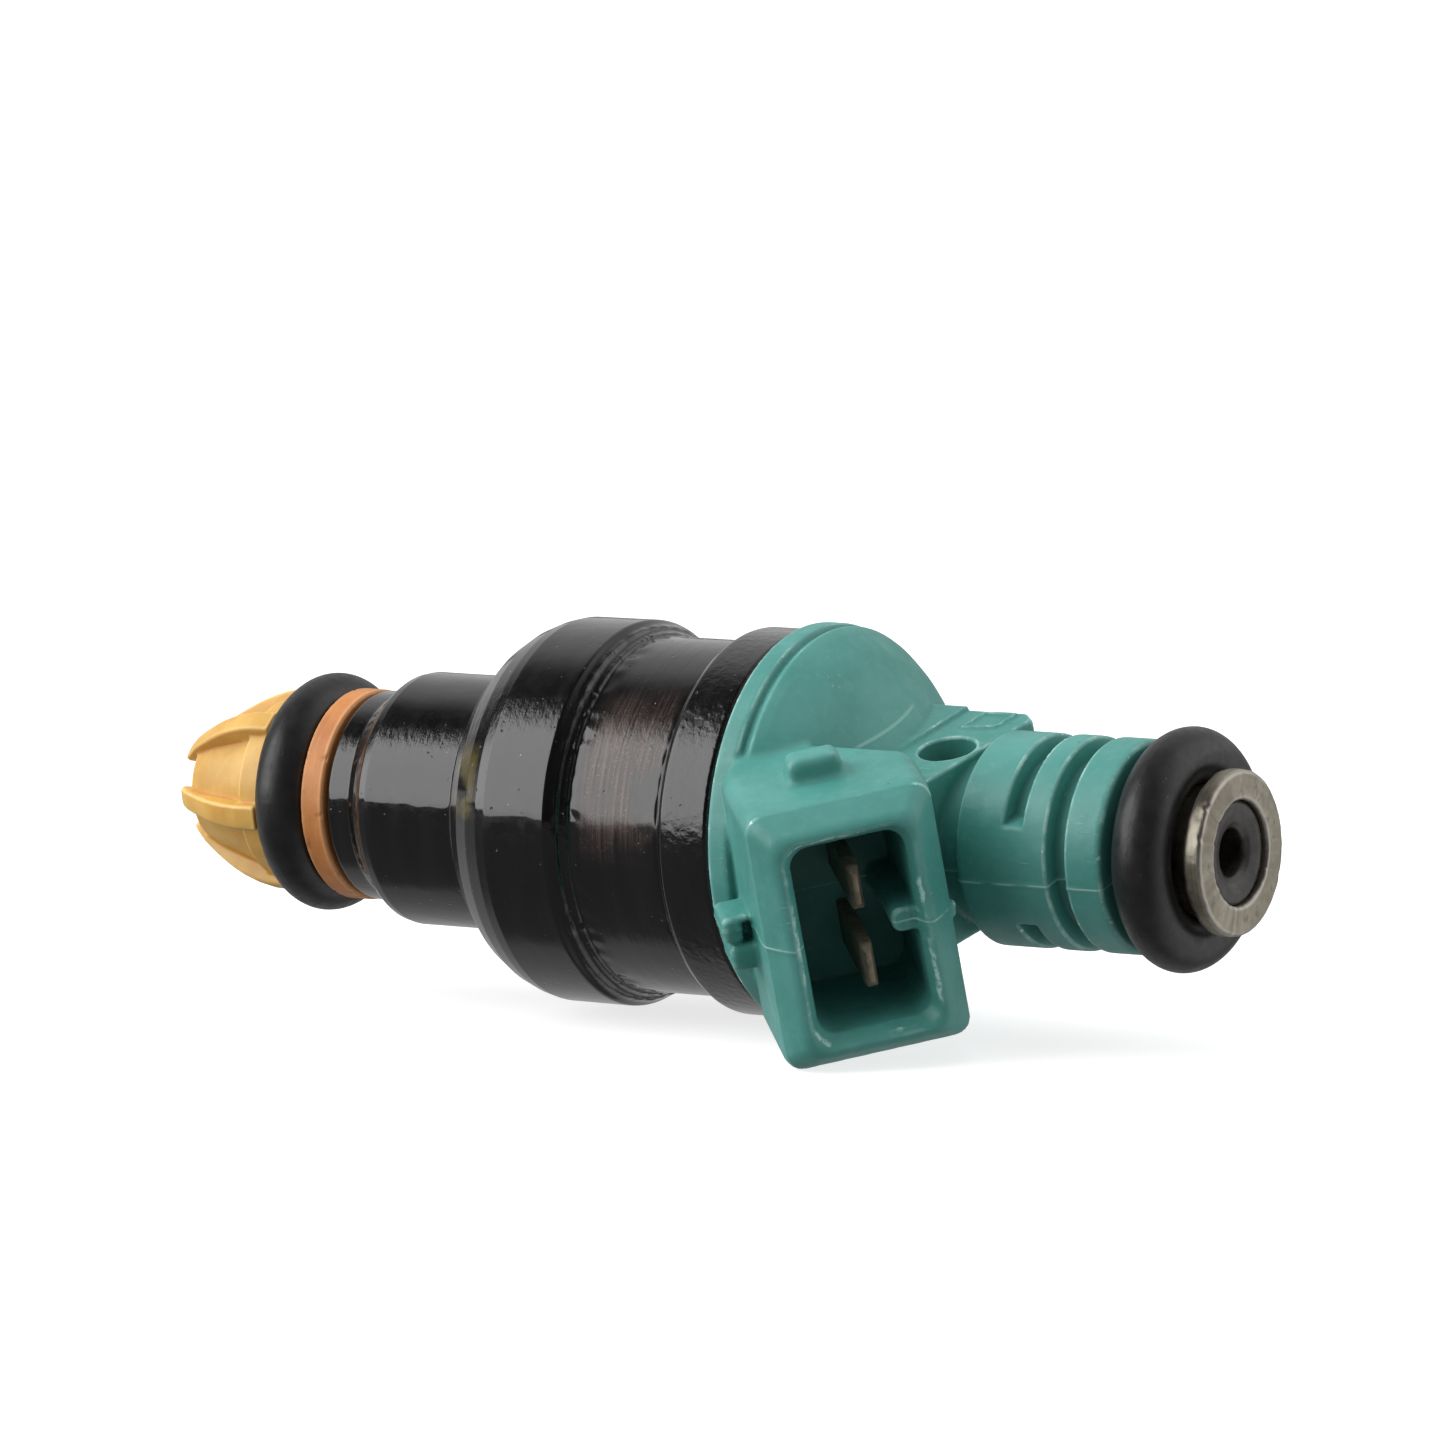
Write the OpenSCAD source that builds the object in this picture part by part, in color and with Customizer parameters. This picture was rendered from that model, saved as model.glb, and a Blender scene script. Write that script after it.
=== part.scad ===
// Top-feed fuel injector: steel housing, moulded plug body, needle valve and coil.
// The injector lies on its disc rim and a corner of its plug, inlet toward +X, +Z up. Lengths are mm.
// The origin is on the injector axis at the middle of the manifold seal.
// Inside the modules the injector stands along local Z: s is the distance from the manifold
// seal toward the inlet, local X is square to the parting plane and local Y is the plug side.

/* [View] */
// node to draw, or all

/* [Pose] */
// roll about the axis when the injector lies on its disc rim and plug corner
roll = 15.1; // [0:0.1:30]

/* [Seals] */
// inner diameter of both seal rings
seal_id = 7.52; // [6:0.01:10]
// section diameter of both seal rings
seal_section = 3.53; // [2:0.01:5]
// distance between the two seal rings
seal_pitch = 60.65; // [50:0.05:75]

/* [Housing] */
// radius of the snout behind the spacer ring
snout_r = 6.4; // [5:0.1:8]
// radius of the neck between snout and collar
neck_r = 7.73; // [6.5:0.01:9]
// radius of the collar
collar_r = 11.7; // [9:0.01:14]
// radius of the body behind the collar
body_r = 10.75; // [9:0.05:12]
// radius of the crimped end
crimp_r = 11.67; // [10:0.01:13]
// start of the snout
snout_s = 3.4; // [2:0.1:5]
// start of the collar cone
collar_s0 = 13.75; // [12:0.05:16]
// start of the collar cylinder
collar_s1 = 18.6; // [15:0.1:20]
// end of the collar
collar_s2 = 23.25; // [20:0.02:26]
// end of the plain body
body_s = 30.3; // [28:0.1:31]
// end of the crimped skirt
crimp_s = 34.7; // [32:0.1:37]
// radius of the coil chamber
chamber_r = 9.3; // [8:0.1:10]

/* [Moulded body] */
// radius of the disc rim against the crimp
disc_r = 12.15; // [11:0.05:14]
// end of the disc rim
rim_s = 36.2; // [35.5:0.1:38]
// end of the dome
dome_s = 42.8; // [42.4:0.1:46]
// height of the flat web above the parting plane
web_top = 5.65; // [4:0.05:7]
// height of the pad beside the dome above the web
pad_h = 0.25; // [0.1:0.05:0.6]
// end of the pad
pad_s = 42.6; // [42:0.1:43.5]
// depth of the flat web below the parting plane
web_bottom = 5.1; // [4:0.05:7]
// diameter of the blind locating hole in the web
web_hole_d = 3.5; // [2:0.1:4]
// position of the locating hole
web_hole_s = 45.2; // [43:0.1:47]
// radius of the core in the clip groove
clip_core_r = 5.0; // [4.5:0.1:6]
// radius of the neck below the rail seal
rail_neck_r = 6.4; // [5.5:0.05:7.5]
// start of the neck
rail_neck_s0 = 48.4; // [47:0.1:51]
// end of the neck
rail_neck_s1 = 58.3; // [56:0.1:60]
// radius at the bottom of the neck grooves
groove_r = 5.1; // [4.6:0.1:6]

/* [Plug] */
// angle between the injector axis and the plug direction
plug_angle = 49; // [30:0.5:90]
// position of the rim centre along the axis
plug_s = 46.85; // [40:0.05:52]
// position of the rim centre out from the axis
plug_t = 14.8; // [10:0.05:20]
// outer size along the long side
plug_long = 16.3; // [12:0.05:20]
// outer size along the short side
plug_short = 11.3; // [8:0.05:14]
// radius of the long edges
plug_edge = 0.95; // [0.4:0.05:2]
// rim size along the long side
rim_long = 13.4; // [10:0.05:16]
// rim size along the short side
rim_short = 8.1; // [6:0.05:11]
// height of the sloped face outside the rim
rim_h = 1.8; // [0.5:0.1:3]
// socket size along the long side
socket_long = 11.9; // [10:0.05:14]
// socket size along the short side
socket_short = 6.9; // [5:0.05:9]
// socket depth below the rim
socket_depth = 9.4; // [6:0.1:12]
// how far the shoulder of the plug stands out from the axis
shoulder_t = 6.05; // [4:0.05:8]
// width of a contact blade
blade_w = 2.8; // [1.5:0.1:4]
// thickness of a contact blade
blade_t = 0.8; // [0.4:0.1:1.2]
// distance between the two contact blades
blade_pitch = 5; // [3:0.1:7]
// depth of the blade tips below the rim
blade_tip = 1.3; // [1:0.1:5]

/* [Nozzle] */
// radius of the nozzle flange inside the housing
nozzle_r = 5.5; // [4.5:0.1:6]
// radius of the nose that carries the manifold seal
nose_r = 3.85; // [3:0.05:5]
// radius of the nose that carries the cap
nose_tip_r = 3.3; // [2.5:0.05:4]
// end of the nozzle body in the cap
nose_tip_s = -6.8; // [-8:0.1:-5]
// end of the nozzle body in the housing
nozzle_top_s = 12; // [10:0.1:14]
// needle guide radius
guide_r = 1.74; // [1.2:0.01:2.5]
// needle land radius
land_r = 1.7; // [1.1:0.01:2.4]
// thickness of the lift shim
shim_t = 0.35; // [0.1:0.05:0.8]
// thickness of the stop plate
stop_t = 1.2; // [0.8:0.1:2]
// free gap between needle collar and stop plate
lift_gap = 0.13; // [0.05:0.01:0.3]

/* [Magnet circuit] */
// armature radius
armature_r = 3.65; // [3:0.05:4]
// radius of the armature bore in the housing floor
armature_bore_r = 3.72; // [3:0.01:4.2]
// lower face of the pole
pole_s = 19.65; // [18:0.05:22]
// upper end of the armature
armature_s1 = 19.4; // [17:0.05:21]
// radius of the coil spool hub
hub_r = 4.75; // [4.2:0.05:6]
// radius of the coil spool flanges
spool_r = 9.1; // [8:0.05:9.25]
// radius of the winding
winding_r = 8.3; // [6:0.05:9]
// lower face of the coil spool
spool_s0 = 17.7; // [17:0.1:20]
// upper face of the coil spool
spool_s1 = 29.9; // [27:0.1:31]

/* [Inlet] */
// outer radius of the inlet tube
tube_r = 3.9; // [3.5:0.05:4.5]
// radius of the inlet flange
flange_r = 4.94; // [4.5:0.01:6]
// position of the inlet face
inlet_s = 64.24; // [60:0.02:70]
// thickness of the inlet flange
flange_t = 1.2; // [0.8:0.1:2]
// radius of the filter pocket
pocket_r = 3.14; // [2.5:0.01:3.5]
// radius of the spring bore
bore_r = 1.95; // [1.5:0.05:2.5]
// wire diameter of the return spring
spring_wire = 0.36; // [0.2:0.02:0.6]
// mean radius of the return spring
spring_r = 1.45; // [1:0.05:1.7]
// turns of the return spring
spring_turns = 11; // [6:1:16]

/* [Cap] */
// number of ribs round the cap
ribs = 6; // [4:1:8]
// angle of the first rib, from the local X axis
rib_angle = 23.5; // [0:0.5:60]
// rib width
rib_w = 1.4; // [0.8:0.1:2]
// face of the cap against the manifold seal
cap_s0 = -1.85; // [-3:0.05:-1.8]
// front end of the cap sleeve
cap_s1 = -8.3; // [-10:0.1:-7]

/* [Hidden] */
$fn = 96;
eps = 0.01;
seal_r = (seal_id + seal_section) / 2;
seal_h = seal_section / 2;
stop_s = nozzle_top_s + shim_t;
shoulder_s = stop_s + stop_t;
floor_s = 17.4;
ledge_s = 30.2;
washer_t = 2.2;
washer_r = 10.3;
throat_r = 9.0;
flange_s = inlet_s - flange_t;
pocket_s = 48;
slot_s = [51.6, 52.9];
slot_ends = [-2.9, 3.3];
blade_shift = 0.25;
groove_s = [54.55, 55.85];
pad_slant = 0.15;
filter_r = 1.4;
leg_w = 0.7;
screen_s0 = 50.6;
screen_s1 = 59.6;
disc_s0 = crimp_s + 0.04;
plug_reach = 20;
lead_in = 0.9;
lip_h = 0.45;
latch_z = -7.3;
nub_z = -8.8;
nub_x = [-0.1, -1.9];
spacer_gap = 0.03;
root_t = 4.4;
root_w = 6.6;
leg_t = 6.2;
leg_s = 39.3;
contact_foot_s = 29.3;
sleeve_s = [35.6, 44];

// ---- placing ----

// local frame (axis along Z) to the lying injector
module lay() rotate([180 + roll, 0, 0]) rotate([0, 90, 0]) children();

// plug frame: origin in the rim centre, X along the long side, Z out of the socket
module plug() translate([0, plug_t, plug_s]) rotate([-plug_angle, 0, 0]) children();

// a turned solid from a profile of [radius, s] points
module turned(points) rotate_extrude() polygon(points);

// a flat ring or disc from s0 to s1
module ring(r_in, r_out, s0, s1)
    rotate_extrude() translate([r_in, s0]) square([r_out - r_in, s1 - s0]);

module torus(r, h, s) rotate_extrude() translate([r, s]) circle(r = h);

// a rounded rectangle centred on the origin
module rounded(x, y, r) {
    square([x - 2 * r, y], center = true);
    square([x, y - 2 * r], center = true);
    for (i = [-1, 1], j = [-1, 1]) translate([i * (x / 2 - r), j * (y / 2 - r)]) circle(r = r);
}

// ---- steel housing ----

module housing() color("#1a1a1c") lay() difference() {
    turned([[0, snout_s], [5.9, snout_s], [snout_r, snout_s + 0.45], [snout_r, 5.3], [6.7, 5.9],
        [7.3, 6.45], [7.6, 6.85], [neck_r, 7.4], [neck_r, 13.6], [neck_r + 0.25, collar_s0 + 0.1],
        [9.3, 14.7], [10.4, 15.8], [11.1, 16.9], [11.5, 17.9], [collar_r - 0.03, collar_s1],
        [collar_r, collar_s2 - 0.4], [collar_r - 0.3, collar_s2], [body_r + 0.35, 23.6], [body_r, 24.1],
        [body_r, body_s], [body_r + 0.1, body_s + 0.05], [11.5, 30.9], [crimp_r, 31.2],
        [crimp_r, crimp_s - 0.5], [crimp_r - 0.4, crimp_s], [0, crimp_s]]);
    ring(0, nose_r + 0.1, snout_s - 1, 4.5);
    ring(0, nozzle_r, 4.4, shoulder_s);
    ring(0, armature_bore_r, shoulder_s - eps, floor_s + eps);
    ring(0, chamber_r, floor_s, ledge_s + eps);
    ring(0, washer_r, ledge_s, ledge_s + washer_t);
    ring(0, throat_r, ledge_s + washer_t - eps, crimp_s + 1);
}

// ---- nozzle ----

module nozzle_body() color("#9a9a96") lay() difference() {
    turned([[0, nose_tip_s], [2.9, nose_tip_s], [nose_tip_r, nose_tip_s + 0.5],
        [nose_tip_r, cap_s0], [nose_r, cap_s0], [nose_r, 4.4], [nozzle_r, 4.4], [nozzle_r, 8.2],
        [4.5, 8.2], [4.5, 10.2], [nozzle_r, 10.2], [nozzle_r, nozzle_top_s], [0, nozzle_top_s]]);
    turned([[0, nose_tip_s - 1], [0.6, nose_tip_s - 1], [0.6, -5.9], [guide_r, -4.6],
        [guide_r, 10.6], [2.6, 10.6], [2.6, 13], [0, 13]]);
}

module nozzle_seal() color("#222222") lay() torus(5.0, 0.5, 9.2);

module lift_shim() color("#b8b8b4") lay() ring(2.6, nozzle_r, nozzle_top_s, stop_s);

module stop_plate() color("#8c8c88") lay() difference() {
    ring(0, nozzle_r, stop_s, shoulder_s);
    ring(0, 1.4, stop_s - 1, shoulder_s + 1);
    translate([-1.4, 0, stop_s - 1]) cube([2.8, 8, stop_t + 2]);
}

module valve_needle() color("#c2c2be") lay() difference() {
    turned([[0, -7.9], [0.35, -7.9], [0.5, -7.6], [0.4, -7.2], [0.4, -5.85], [land_r - 0.02, -4.55],
        [land_r, -4.5], [land_r, -2.5], [1.4, -2.3], [1.4, 6.6], [land_r, 6.8], [land_r, 9.6],
        [1.4, 9.8], [1.4, 11.2], [2.3, 11.2], [2.3, stop_s - lift_gap], [1.15, stop_s - lift_gap],
        [1.15, 14.3], [1.4, 14.5], [1.4, 17.4], [0, 17.4]]);
    ring(0, 0.5, 13, 18);
}

// ---- magnet circuit ----

module armature() color("#8a8a8e") lay() difference() {
    turned([[0, 14], [armature_r - 0.3, 14], [armature_r, 14.3], [armature_r, armature_s1], [0, armature_s1]]);
    ring(0, 1.4, 13, 17.41);
    ring(0, 2.0, 17.4, armature_s1 + 1);
    for (i = [0 : 3]) rotate([0, 0, 45 + 90 * i]) translate([2.75, 0, 13]) cylinder(r = 0.4, h = 8);
}

// section of the coiled wire cut square to the axis
function wire_half(a, pitch) = sqrt(max(0.0001, pow(spring_wire / 2, 2) - pow(pitch * a / 360, 2)));

module return_spring() color("#a8a8a4") lay() {
    length = sleeve_s[0] - 17.45 - spring_wire - 0.05;
    pitch = length / spring_turns;
    reach = 360 * spring_wire / 2 / pitch;
    steps = 3;
    out = [for (i = [-steps : steps]) let (a = reach * i / steps, r = spring_r + wire_half(a, pitch))
        [r * cos(a), r * sin(a)]];
    in = [for (i = [steps : -1 : -steps]) let (a = reach * i / steps, r = spring_r - wire_half(a, pitch))
        [r * cos(a), r * sin(a)]];
    translate([0, 0, 17.45 + spring_wire / 2])
        linear_extrude(height = length, twist = -360 * spring_turns, slices = 16 * spring_turns, $fn = 14)
            polygon(concat(out, in));
}

module adjusting_sleeve() color("#b0a060") lay() difference() {
    ring(0.9, bore_r, sleeve_s[0], sleeve_s[1]);
    translate([-0.25, 0, sleeve_s[0] - 1]) cube([0.5, 4, 12]);
}

module coil_bobbin() color("#3c4a40") lay() difference() {
    union() {
        ring(tube_r + 0.1, hub_r, spool_s0, spool_s1);
        ring(tube_r + 0.1, spool_r, spool_s0, spool_s0 + 1.2);
        ring(tube_r + 0.1, spool_r, spool_s1 - 1.2, spool_s1);
    }
    ring(0, 5.85, spool_s0 - 1, spool_s0 + 0.95);
    ring(0, 5.2, spool_s1 - 1.1, spool_s1 + 1);
    for (i = [-1, 1]) translate([i * blade_pitch / 2, leg_t, spool_s1 - 0.6])
        cube([1.4, 1.0, 2], center = true);
}

module coil_winding() color("#b5652b") lay() ring(hub_r, winding_r, spool_s0 + 1.2, spool_s1 - 1.2);

module coil_seal_lower() color("#222222") lay() torus(5.2, 0.6, 18.0);

module coil_seal_upper() color("#222222") lay() torus(4.55, 0.6, 29.5);

module flux_washer() color("#7c7c80") lay() difference() {
    ring(tube_r, washer_r, ledge_s, ledge_s + washer_t);
    translate([0, leg_t, ledge_s]) linear_extrude(height = 9, center = true)
        rounded(2 * blade_pitch - 0.6, 2.4, 0.6);
}

// ---- inlet ----

module inlet_tube() color("#b9b39a") lay() difference() {
    union() {
        turned([[0, pole_s], [tube_r - 0.3, pole_s], [tube_r, pole_s + 0.3], [tube_r, flange_s],
            [0, flange_s]]);
        rotate_extrude() {
            translate([0, flange_s]) square([flange_r - 0.35, flange_t]);
            translate([0, flange_s + 0.35]) square([flange_r, flange_t - 0.7]);
            for (z = [flange_s + 0.35, inlet_s - 0.35])
                translate([flange_r - 0.35, z]) circle(r = 0.35);
        }
    }
    ring(0, bore_r, pole_s - 1, pocket_s + 1);
    turned([[0, pocket_s], [bore_r, pocket_s], [pocket_r, pocket_s + 1.2], [pocket_r, inlet_s - 0.25],
        [pocket_r + 0.3, inlet_s + 0.05], [0, inlet_s + 0.05]]);
}

module filter_frame() color("#4a4238") lay() difference() {
    union() {
        turned([[filter_r, screen_s1], [pocket_r, screen_s1], [pocket_r, 63.75], [2.85, 63.95], [2.4, 63.95],
            [1.8, 63.75], [filter_r, 63.45]]);
        for (i = [0 : 3]) rotate([0, 0, 90 * i]) translate([1.55, -leg_w / 2, screen_s0 - 0.2])
            cube([1.2, leg_w, screen_s1 - screen_s0 + 0.4]);
        ring(0, 2.75, screen_s0 - 1, screen_s0);
    }
    ring(0, filter_r, screen_s0, inlet_s + 2);
}

module filter_screen() color("#c9c2a4") lay() difference() {
    ring(2.0, 2.15, screen_s0, screen_s1);
    for (i = [0 : 3]) rotate([0, 0, 90 * i]) translate([1.0, -leg_w / 2, screen_s0 - 1]) cube([3, leg_w, 11]);
}

// ---- moulded body ----

module dome() turned([[0, ledge_s + washer_t], [throat_r, ledge_s + washer_t], [throat_r, disc_s0],
    [disc_r - 0.1, disc_s0], [disc_r, disc_s0 + 0.16], [disc_r, rim_s - 0.15], [disc_r - 0.15, rim_s],
    [disc_r - 0.4, rim_s], [disc_r - 0.4, rim_s + 0.15], [disc_r - 0.14, 36.9], [11.7, 37.5],
    [11.24, 38.1], [10.75, 38.7], [10.15, 39.3], [9.42, 39.9], [8.6, 40.5], [7.72, 41.1], [6.83, 41.7],
    [5.93, 42.3], [5.2, dome_s], [0, dome_s]]);

// flat web either side of the axis, drawn in the (out, s) plane and given its thickness
module web() translate([-web_bottom, 0, 0]) rotate([90, 0, 90]) linear_extrude(height = web_top + web_bottom)
    polygon([[-5.5, 38], [-5.5, 47.5], [-4.7, 48.3], [0, 47.4], [5.1, 46.4], [7.6, 45.9], [7.6, 38]]);

// low pad on the web beside the dome, its end slanted like the end of the web
module pad() rotate([90, 0, 90]) linear_extrude(height = web_top + pad_h)
    polygon([[-5.5, 39], [-5.5, pad_s + 5.5 * pad_slant], [1, pad_s - pad_slant], [1, 39]]);

// neck that carries the rail seal, with moulded grooves
module rail_neck() difference() {
    union() {
        ring(0, clip_core_r, 40, rail_neck_s0 + eps);
        turned([[0, rail_neck_s0], [rail_neck_r - 0.2, rail_neck_s0], [rail_neck_r, rail_neck_s0 + 0.2],
            [rail_neck_r, rail_neck_s1 - 0.2], [rail_neck_r - 0.2, rail_neck_s1], [0, rail_neck_s1]]);
    }
    ring(groove_r, rail_neck_r + 1, groove_s[0], groove_s[1]);
    difference() {
        ring(groove_r, rail_neck_r + 1, slot_s[0], slot_s[1]);
        translate([slot_ends[0], -10, 40]) cube([slot_ends[1] - slot_ends[0], 20, 20]);
    }
}

// outside of the plug: long sides, short sides and sloped rim, crossed with each other
module plug_outer() intersection() {
    plug() translate([0, 0, -plug_reach]) linear_extrude(height = plug_reach + 1)
        rounded(plug_long, plug_short, plug_edge);
    plug() rotate([90, 0, 0]) linear_extrude(height = 30, center = true)
        polygon([[-plug_long / 2, -plug_reach], [plug_long / 2, -plug_reach], [plug_long / 2, -rim_h],
            [rim_long / 2 + 0.55, -lip_h], [rim_long / 2, 0], [-rim_long / 2, 0],
            [-rim_long / 2 - 0.55, -lip_h], [-plug_long / 2, -rim_h]]);
    plug() rotate([90, 0, 90]) linear_extrude(height = 30, center = true)
        polygon([[-plug_short / 2, -plug_reach], [plug_short / 2, -plug_reach], [plug_short / 2, -rim_h],
            [rim_short / 2 + 0.6, -lip_h], [rim_short / 2, 0], [-rim_short / 2, 0],
            [-rim_short / 2 - 0.6, -lip_h], [-plug_short / 2, -rim_h]]);
    // the shoulder, and the root that closes the floor of the socket
    union() {
        translate([-10, shoulder_t, rim_s]) cube([20, 30, 30]);
        translate([-root_w, root_t, rim_s]) cube([2 * root_w, 30, 30]);
    }
}

module socket() difference() {
    plug() union() {
        translate([0, 0, -socket_depth]) linear_extrude(height = socket_depth + 1)
            rounded(socket_long, socket_short, 1.2);
        intersection() {
            translate([0, 0, -1]) linear_extrude(height = 3) rounded(rim_long - 0.2, rim_short - 0.2, 1.6);
            rotate([90, 0, 0]) linear_extrude(height = 30, center = true)
                polygon([[-socket_long / 2, -lead_in], [socket_long / 2, -lead_in], [rim_long / 2 - 0.2, 0.1],
                    [-rim_long / 2 + 0.2, 0.1]]);
            rotate([90, 0, 90]) linear_extrude(height = 30, center = true)
                polygon([[-socket_short / 2, -lead_in], [socket_short / 2, -lead_in], [rim_short / 2 - 0.2, 0.1],
                    [-rim_short / 2 + 0.2, 0.1]]);
        }
    }
    // keying rib on the wall toward the inlet
    plug() translate([0, -socket_short / 2 + 0.4, -socket_depth - 1])
        linear_extrude(height = socket_depth - 0.2) rounded(1.5, 2.2, 0.6);
}

module overmould() color("#2f8f7c") lay() difference() {
    union() {
        dome();
        web();
        pad();
        rail_neck();
        plug_outer();
        // latch nub on the long side and two nubs on the short side
        plug() translate([plug_long / 2, 0.4, latch_z]) linear_extrude(height = 1.9) rounded(2.8, 2.9, 0.5);
        plug() for (x = nub_x) translate([x, plug_short / 2, nub_z])
            linear_extrude(height = 3.4) rounded(1.65, 3.5, 0.5);
    }
    socket();
    ring(0, tube_r, 30, 70);
    rotate([0, 90, 0]) translate([-web_hole_s, 0.2, tube_r - 0.6]) cylinder(d = web_hole_d, h = 9);
    for (x = [-1, 1]) contact(x * blade_pitch / 2);
}

// one contact: foot in the spool, leg beside the tube, blade in the socket
module contact(x) union() {
    translate([x - 0.6, leg_t - 0.4, contact_foot_s]) cube([1.2, 0.8, leg_s - contact_foot_s]);
    plug() translate([x, -blade_shift, -socket_depth - 2])
        linear_extrude(height = socket_depth + 2 - blade_tip - 0.6)
            square([blade_w, blade_t], center = true);
    plug() translate([x, -blade_shift, -blade_tip - 1.4]) rotate([90, 0, 0])
        linear_extrude(height = blade_t, center = true)
            polygon([[-blade_w / 2, -1], [blade_w / 2, -1], [blade_w / 2, 0.4], [blade_w / 2 - 0.45, 1.4],
                [-blade_w / 2 + 0.45, 1.4], [-blade_w / 2, 0.4]]);
    translate([x - blade_w / 2, leg_t - 0.4, leg_s - 1]) cube([blade_w, 1.9, 1.6]);
}

module terminal_upper() color("#a9895c") lay() contact(blade_pitch / 2);

module terminal_lower() color("#a9895c") lay() contact(-blade_pitch / 2);

// ---- seals, spacer and cap ----

module manifold_seal() color("#151515") lay() torus(seal_r, seal_h, 0);

module rail_seal() color("#151515") lay() torus(seal_r, seal_h, seal_pitch);

module spacer_ring() color("#d98243") lay() turned([[nose_r, seal_h], [6.3, seal_h], [6.45, seal_h + 0.15],
    [6.45, snout_s - 0.1 - spacer_gap], [6.3, snout_s - spacer_gap], [nose_r, snout_s - spacer_gap]]);

module pintle_cap() color("#f0b95c") lay() difference() {
    union() {
        turned([[0, cap_s0], [5.75, cap_s0], [5.55, -3.35], [5.1, -3.5], [4.65, -5.0], [4.1, -6.8],
            [3.45, cap_s1], [0, cap_s1]]);
        intersection() {
            turned([[0, cap_s0], [6.25, cap_s0], [6.2, -3.3], [6.0, -4.3], [5.7, -5.2], [5.3, -6.1],
                [4.8, -7.0], [4.3, -7.8], [3.75, -8.6], [3.2, -9.2], [2.85, -9.5], [2.6, -9.3],
                [2.6, -8.0], [0, -8.0]]);
            for (i = [0 : ribs - 1]) rotate([0, 0, rib_angle + 360 / ribs * i])
                translate([0, -rib_w / 2, -12]) cube([8, rib_w, 12]);
        }
    }
    ring(0, nose_tip_r, -7.0, 0);
    ring(0, 2.5, -12, -6.9);
    for (i = [0 : ribs - 1]) rotate([0, 0, rib_angle + 360 / ribs * i])
        translate([3, -0.65, -4.0]) cube([2.6, 1.3, 1.0]);
}

// ---- drawing ----

housing();
nozzle_body();
nozzle_seal();
lift_shim();
stop_plate();
valve_needle();
armature();
return_spring();
adjusting_sleeve();
coil_bobbin();
coil_winding();
coil_seal_lower();
coil_seal_upper();
flux_washer();
inlet_tube();
filter_frame();
filter_screen();
overmould();
terminal_upper();
terminal_lower();
manifold_seal();
rail_seal();
spacer_ring();
pintle_cap();
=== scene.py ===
"""Looks of a top-feed fuel injector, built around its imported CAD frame.

Shapes are worked out in a local frame in mm: w is square to the parting plane, t points to the
plug side and s runs along the axis toward the inlet. to_row() lays them down in metres.
"""
import math

import bpy
import numpy as np
from mathutils import Matrix, Vector


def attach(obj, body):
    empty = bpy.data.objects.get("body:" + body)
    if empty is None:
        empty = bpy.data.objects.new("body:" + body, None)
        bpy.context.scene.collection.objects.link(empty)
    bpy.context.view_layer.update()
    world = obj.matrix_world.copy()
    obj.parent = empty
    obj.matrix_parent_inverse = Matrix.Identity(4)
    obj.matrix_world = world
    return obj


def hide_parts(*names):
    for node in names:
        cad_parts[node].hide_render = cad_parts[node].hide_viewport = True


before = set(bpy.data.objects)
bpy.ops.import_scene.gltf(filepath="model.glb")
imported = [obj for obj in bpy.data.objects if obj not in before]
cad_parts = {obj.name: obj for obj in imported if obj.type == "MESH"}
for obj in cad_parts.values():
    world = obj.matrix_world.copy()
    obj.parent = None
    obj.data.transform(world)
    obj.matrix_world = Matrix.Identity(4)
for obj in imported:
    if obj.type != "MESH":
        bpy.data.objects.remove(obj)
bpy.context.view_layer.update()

# mm and radians, as in part.scad
ROLL = math.radians(15.1)             # the injector rolled onto its plug
PLUG_TURN = math.radians(49)          # the plug's axis against the injector's
PLUG_T, PLUG_S = 14.8, 46.85          # middle of the plug's mouth
SEAL_R, SEAL_H, SEAL_PITCH = 5.525, 1.765, 60.65
BORE_R = 3.9                          # bore of the green body, round the inlet tube
FLOOR_Z = -0.0122                     # m
BODY = "injector"


def to_row(p):
    """Local (w, t, s) in mm to the row frame in metres."""
    w, t, s = p[..., 0], p[..., 1], p[..., 2]
    y = -math.sin(ROLL) * w - math.cos(ROLL) * t
    z = math.cos(ROLL) * w - math.sin(ROLL) * t
    return np.stack([s, y, z], -1) / 1000


# ---------------------------------------------------------------- meshes

def mesh_piece(name, points, quads, material, stands_for, marks):
    """A piece from local points in mm and quads, with named float marks on its points."""
    mesh = bpy.data.meshes.new(name)
    mesh.vertices.add(len(points))
    mesh.vertices.foreach_set("co", to_row(points).astype(np.float32).ravel())
    mesh.loops.add(quads.size)
    mesh.loops.foreach_set("vertex_index", quads.astype(np.int32).ravel())
    mesh.polygons.add(len(quads))
    mesh.polygons.foreach_set("loop_start", np.arange(0, quads.size, 4, dtype=np.int32))
    mesh.update(calc_edges=True)
    mesh.polygons.foreach_set("use_smooth", np.ones(len(quads), bool))
    for key, values in marks.items():
        layer = mesh.attributes.new(key, "FLOAT", "POINT")
        layer.data.foreach_set("value", values.astype(np.float32).ravel())
    mesh.materials.append(material)
    piece = bpy.data.objects.new(name, mesh)
    bpy.context.scene.collection.objects.link(piece)
    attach(piece, BODY)
    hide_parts(*stands_for)
    return piece


STRAIGHT = 0.02                       # a bend below this angle stays as it is


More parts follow.
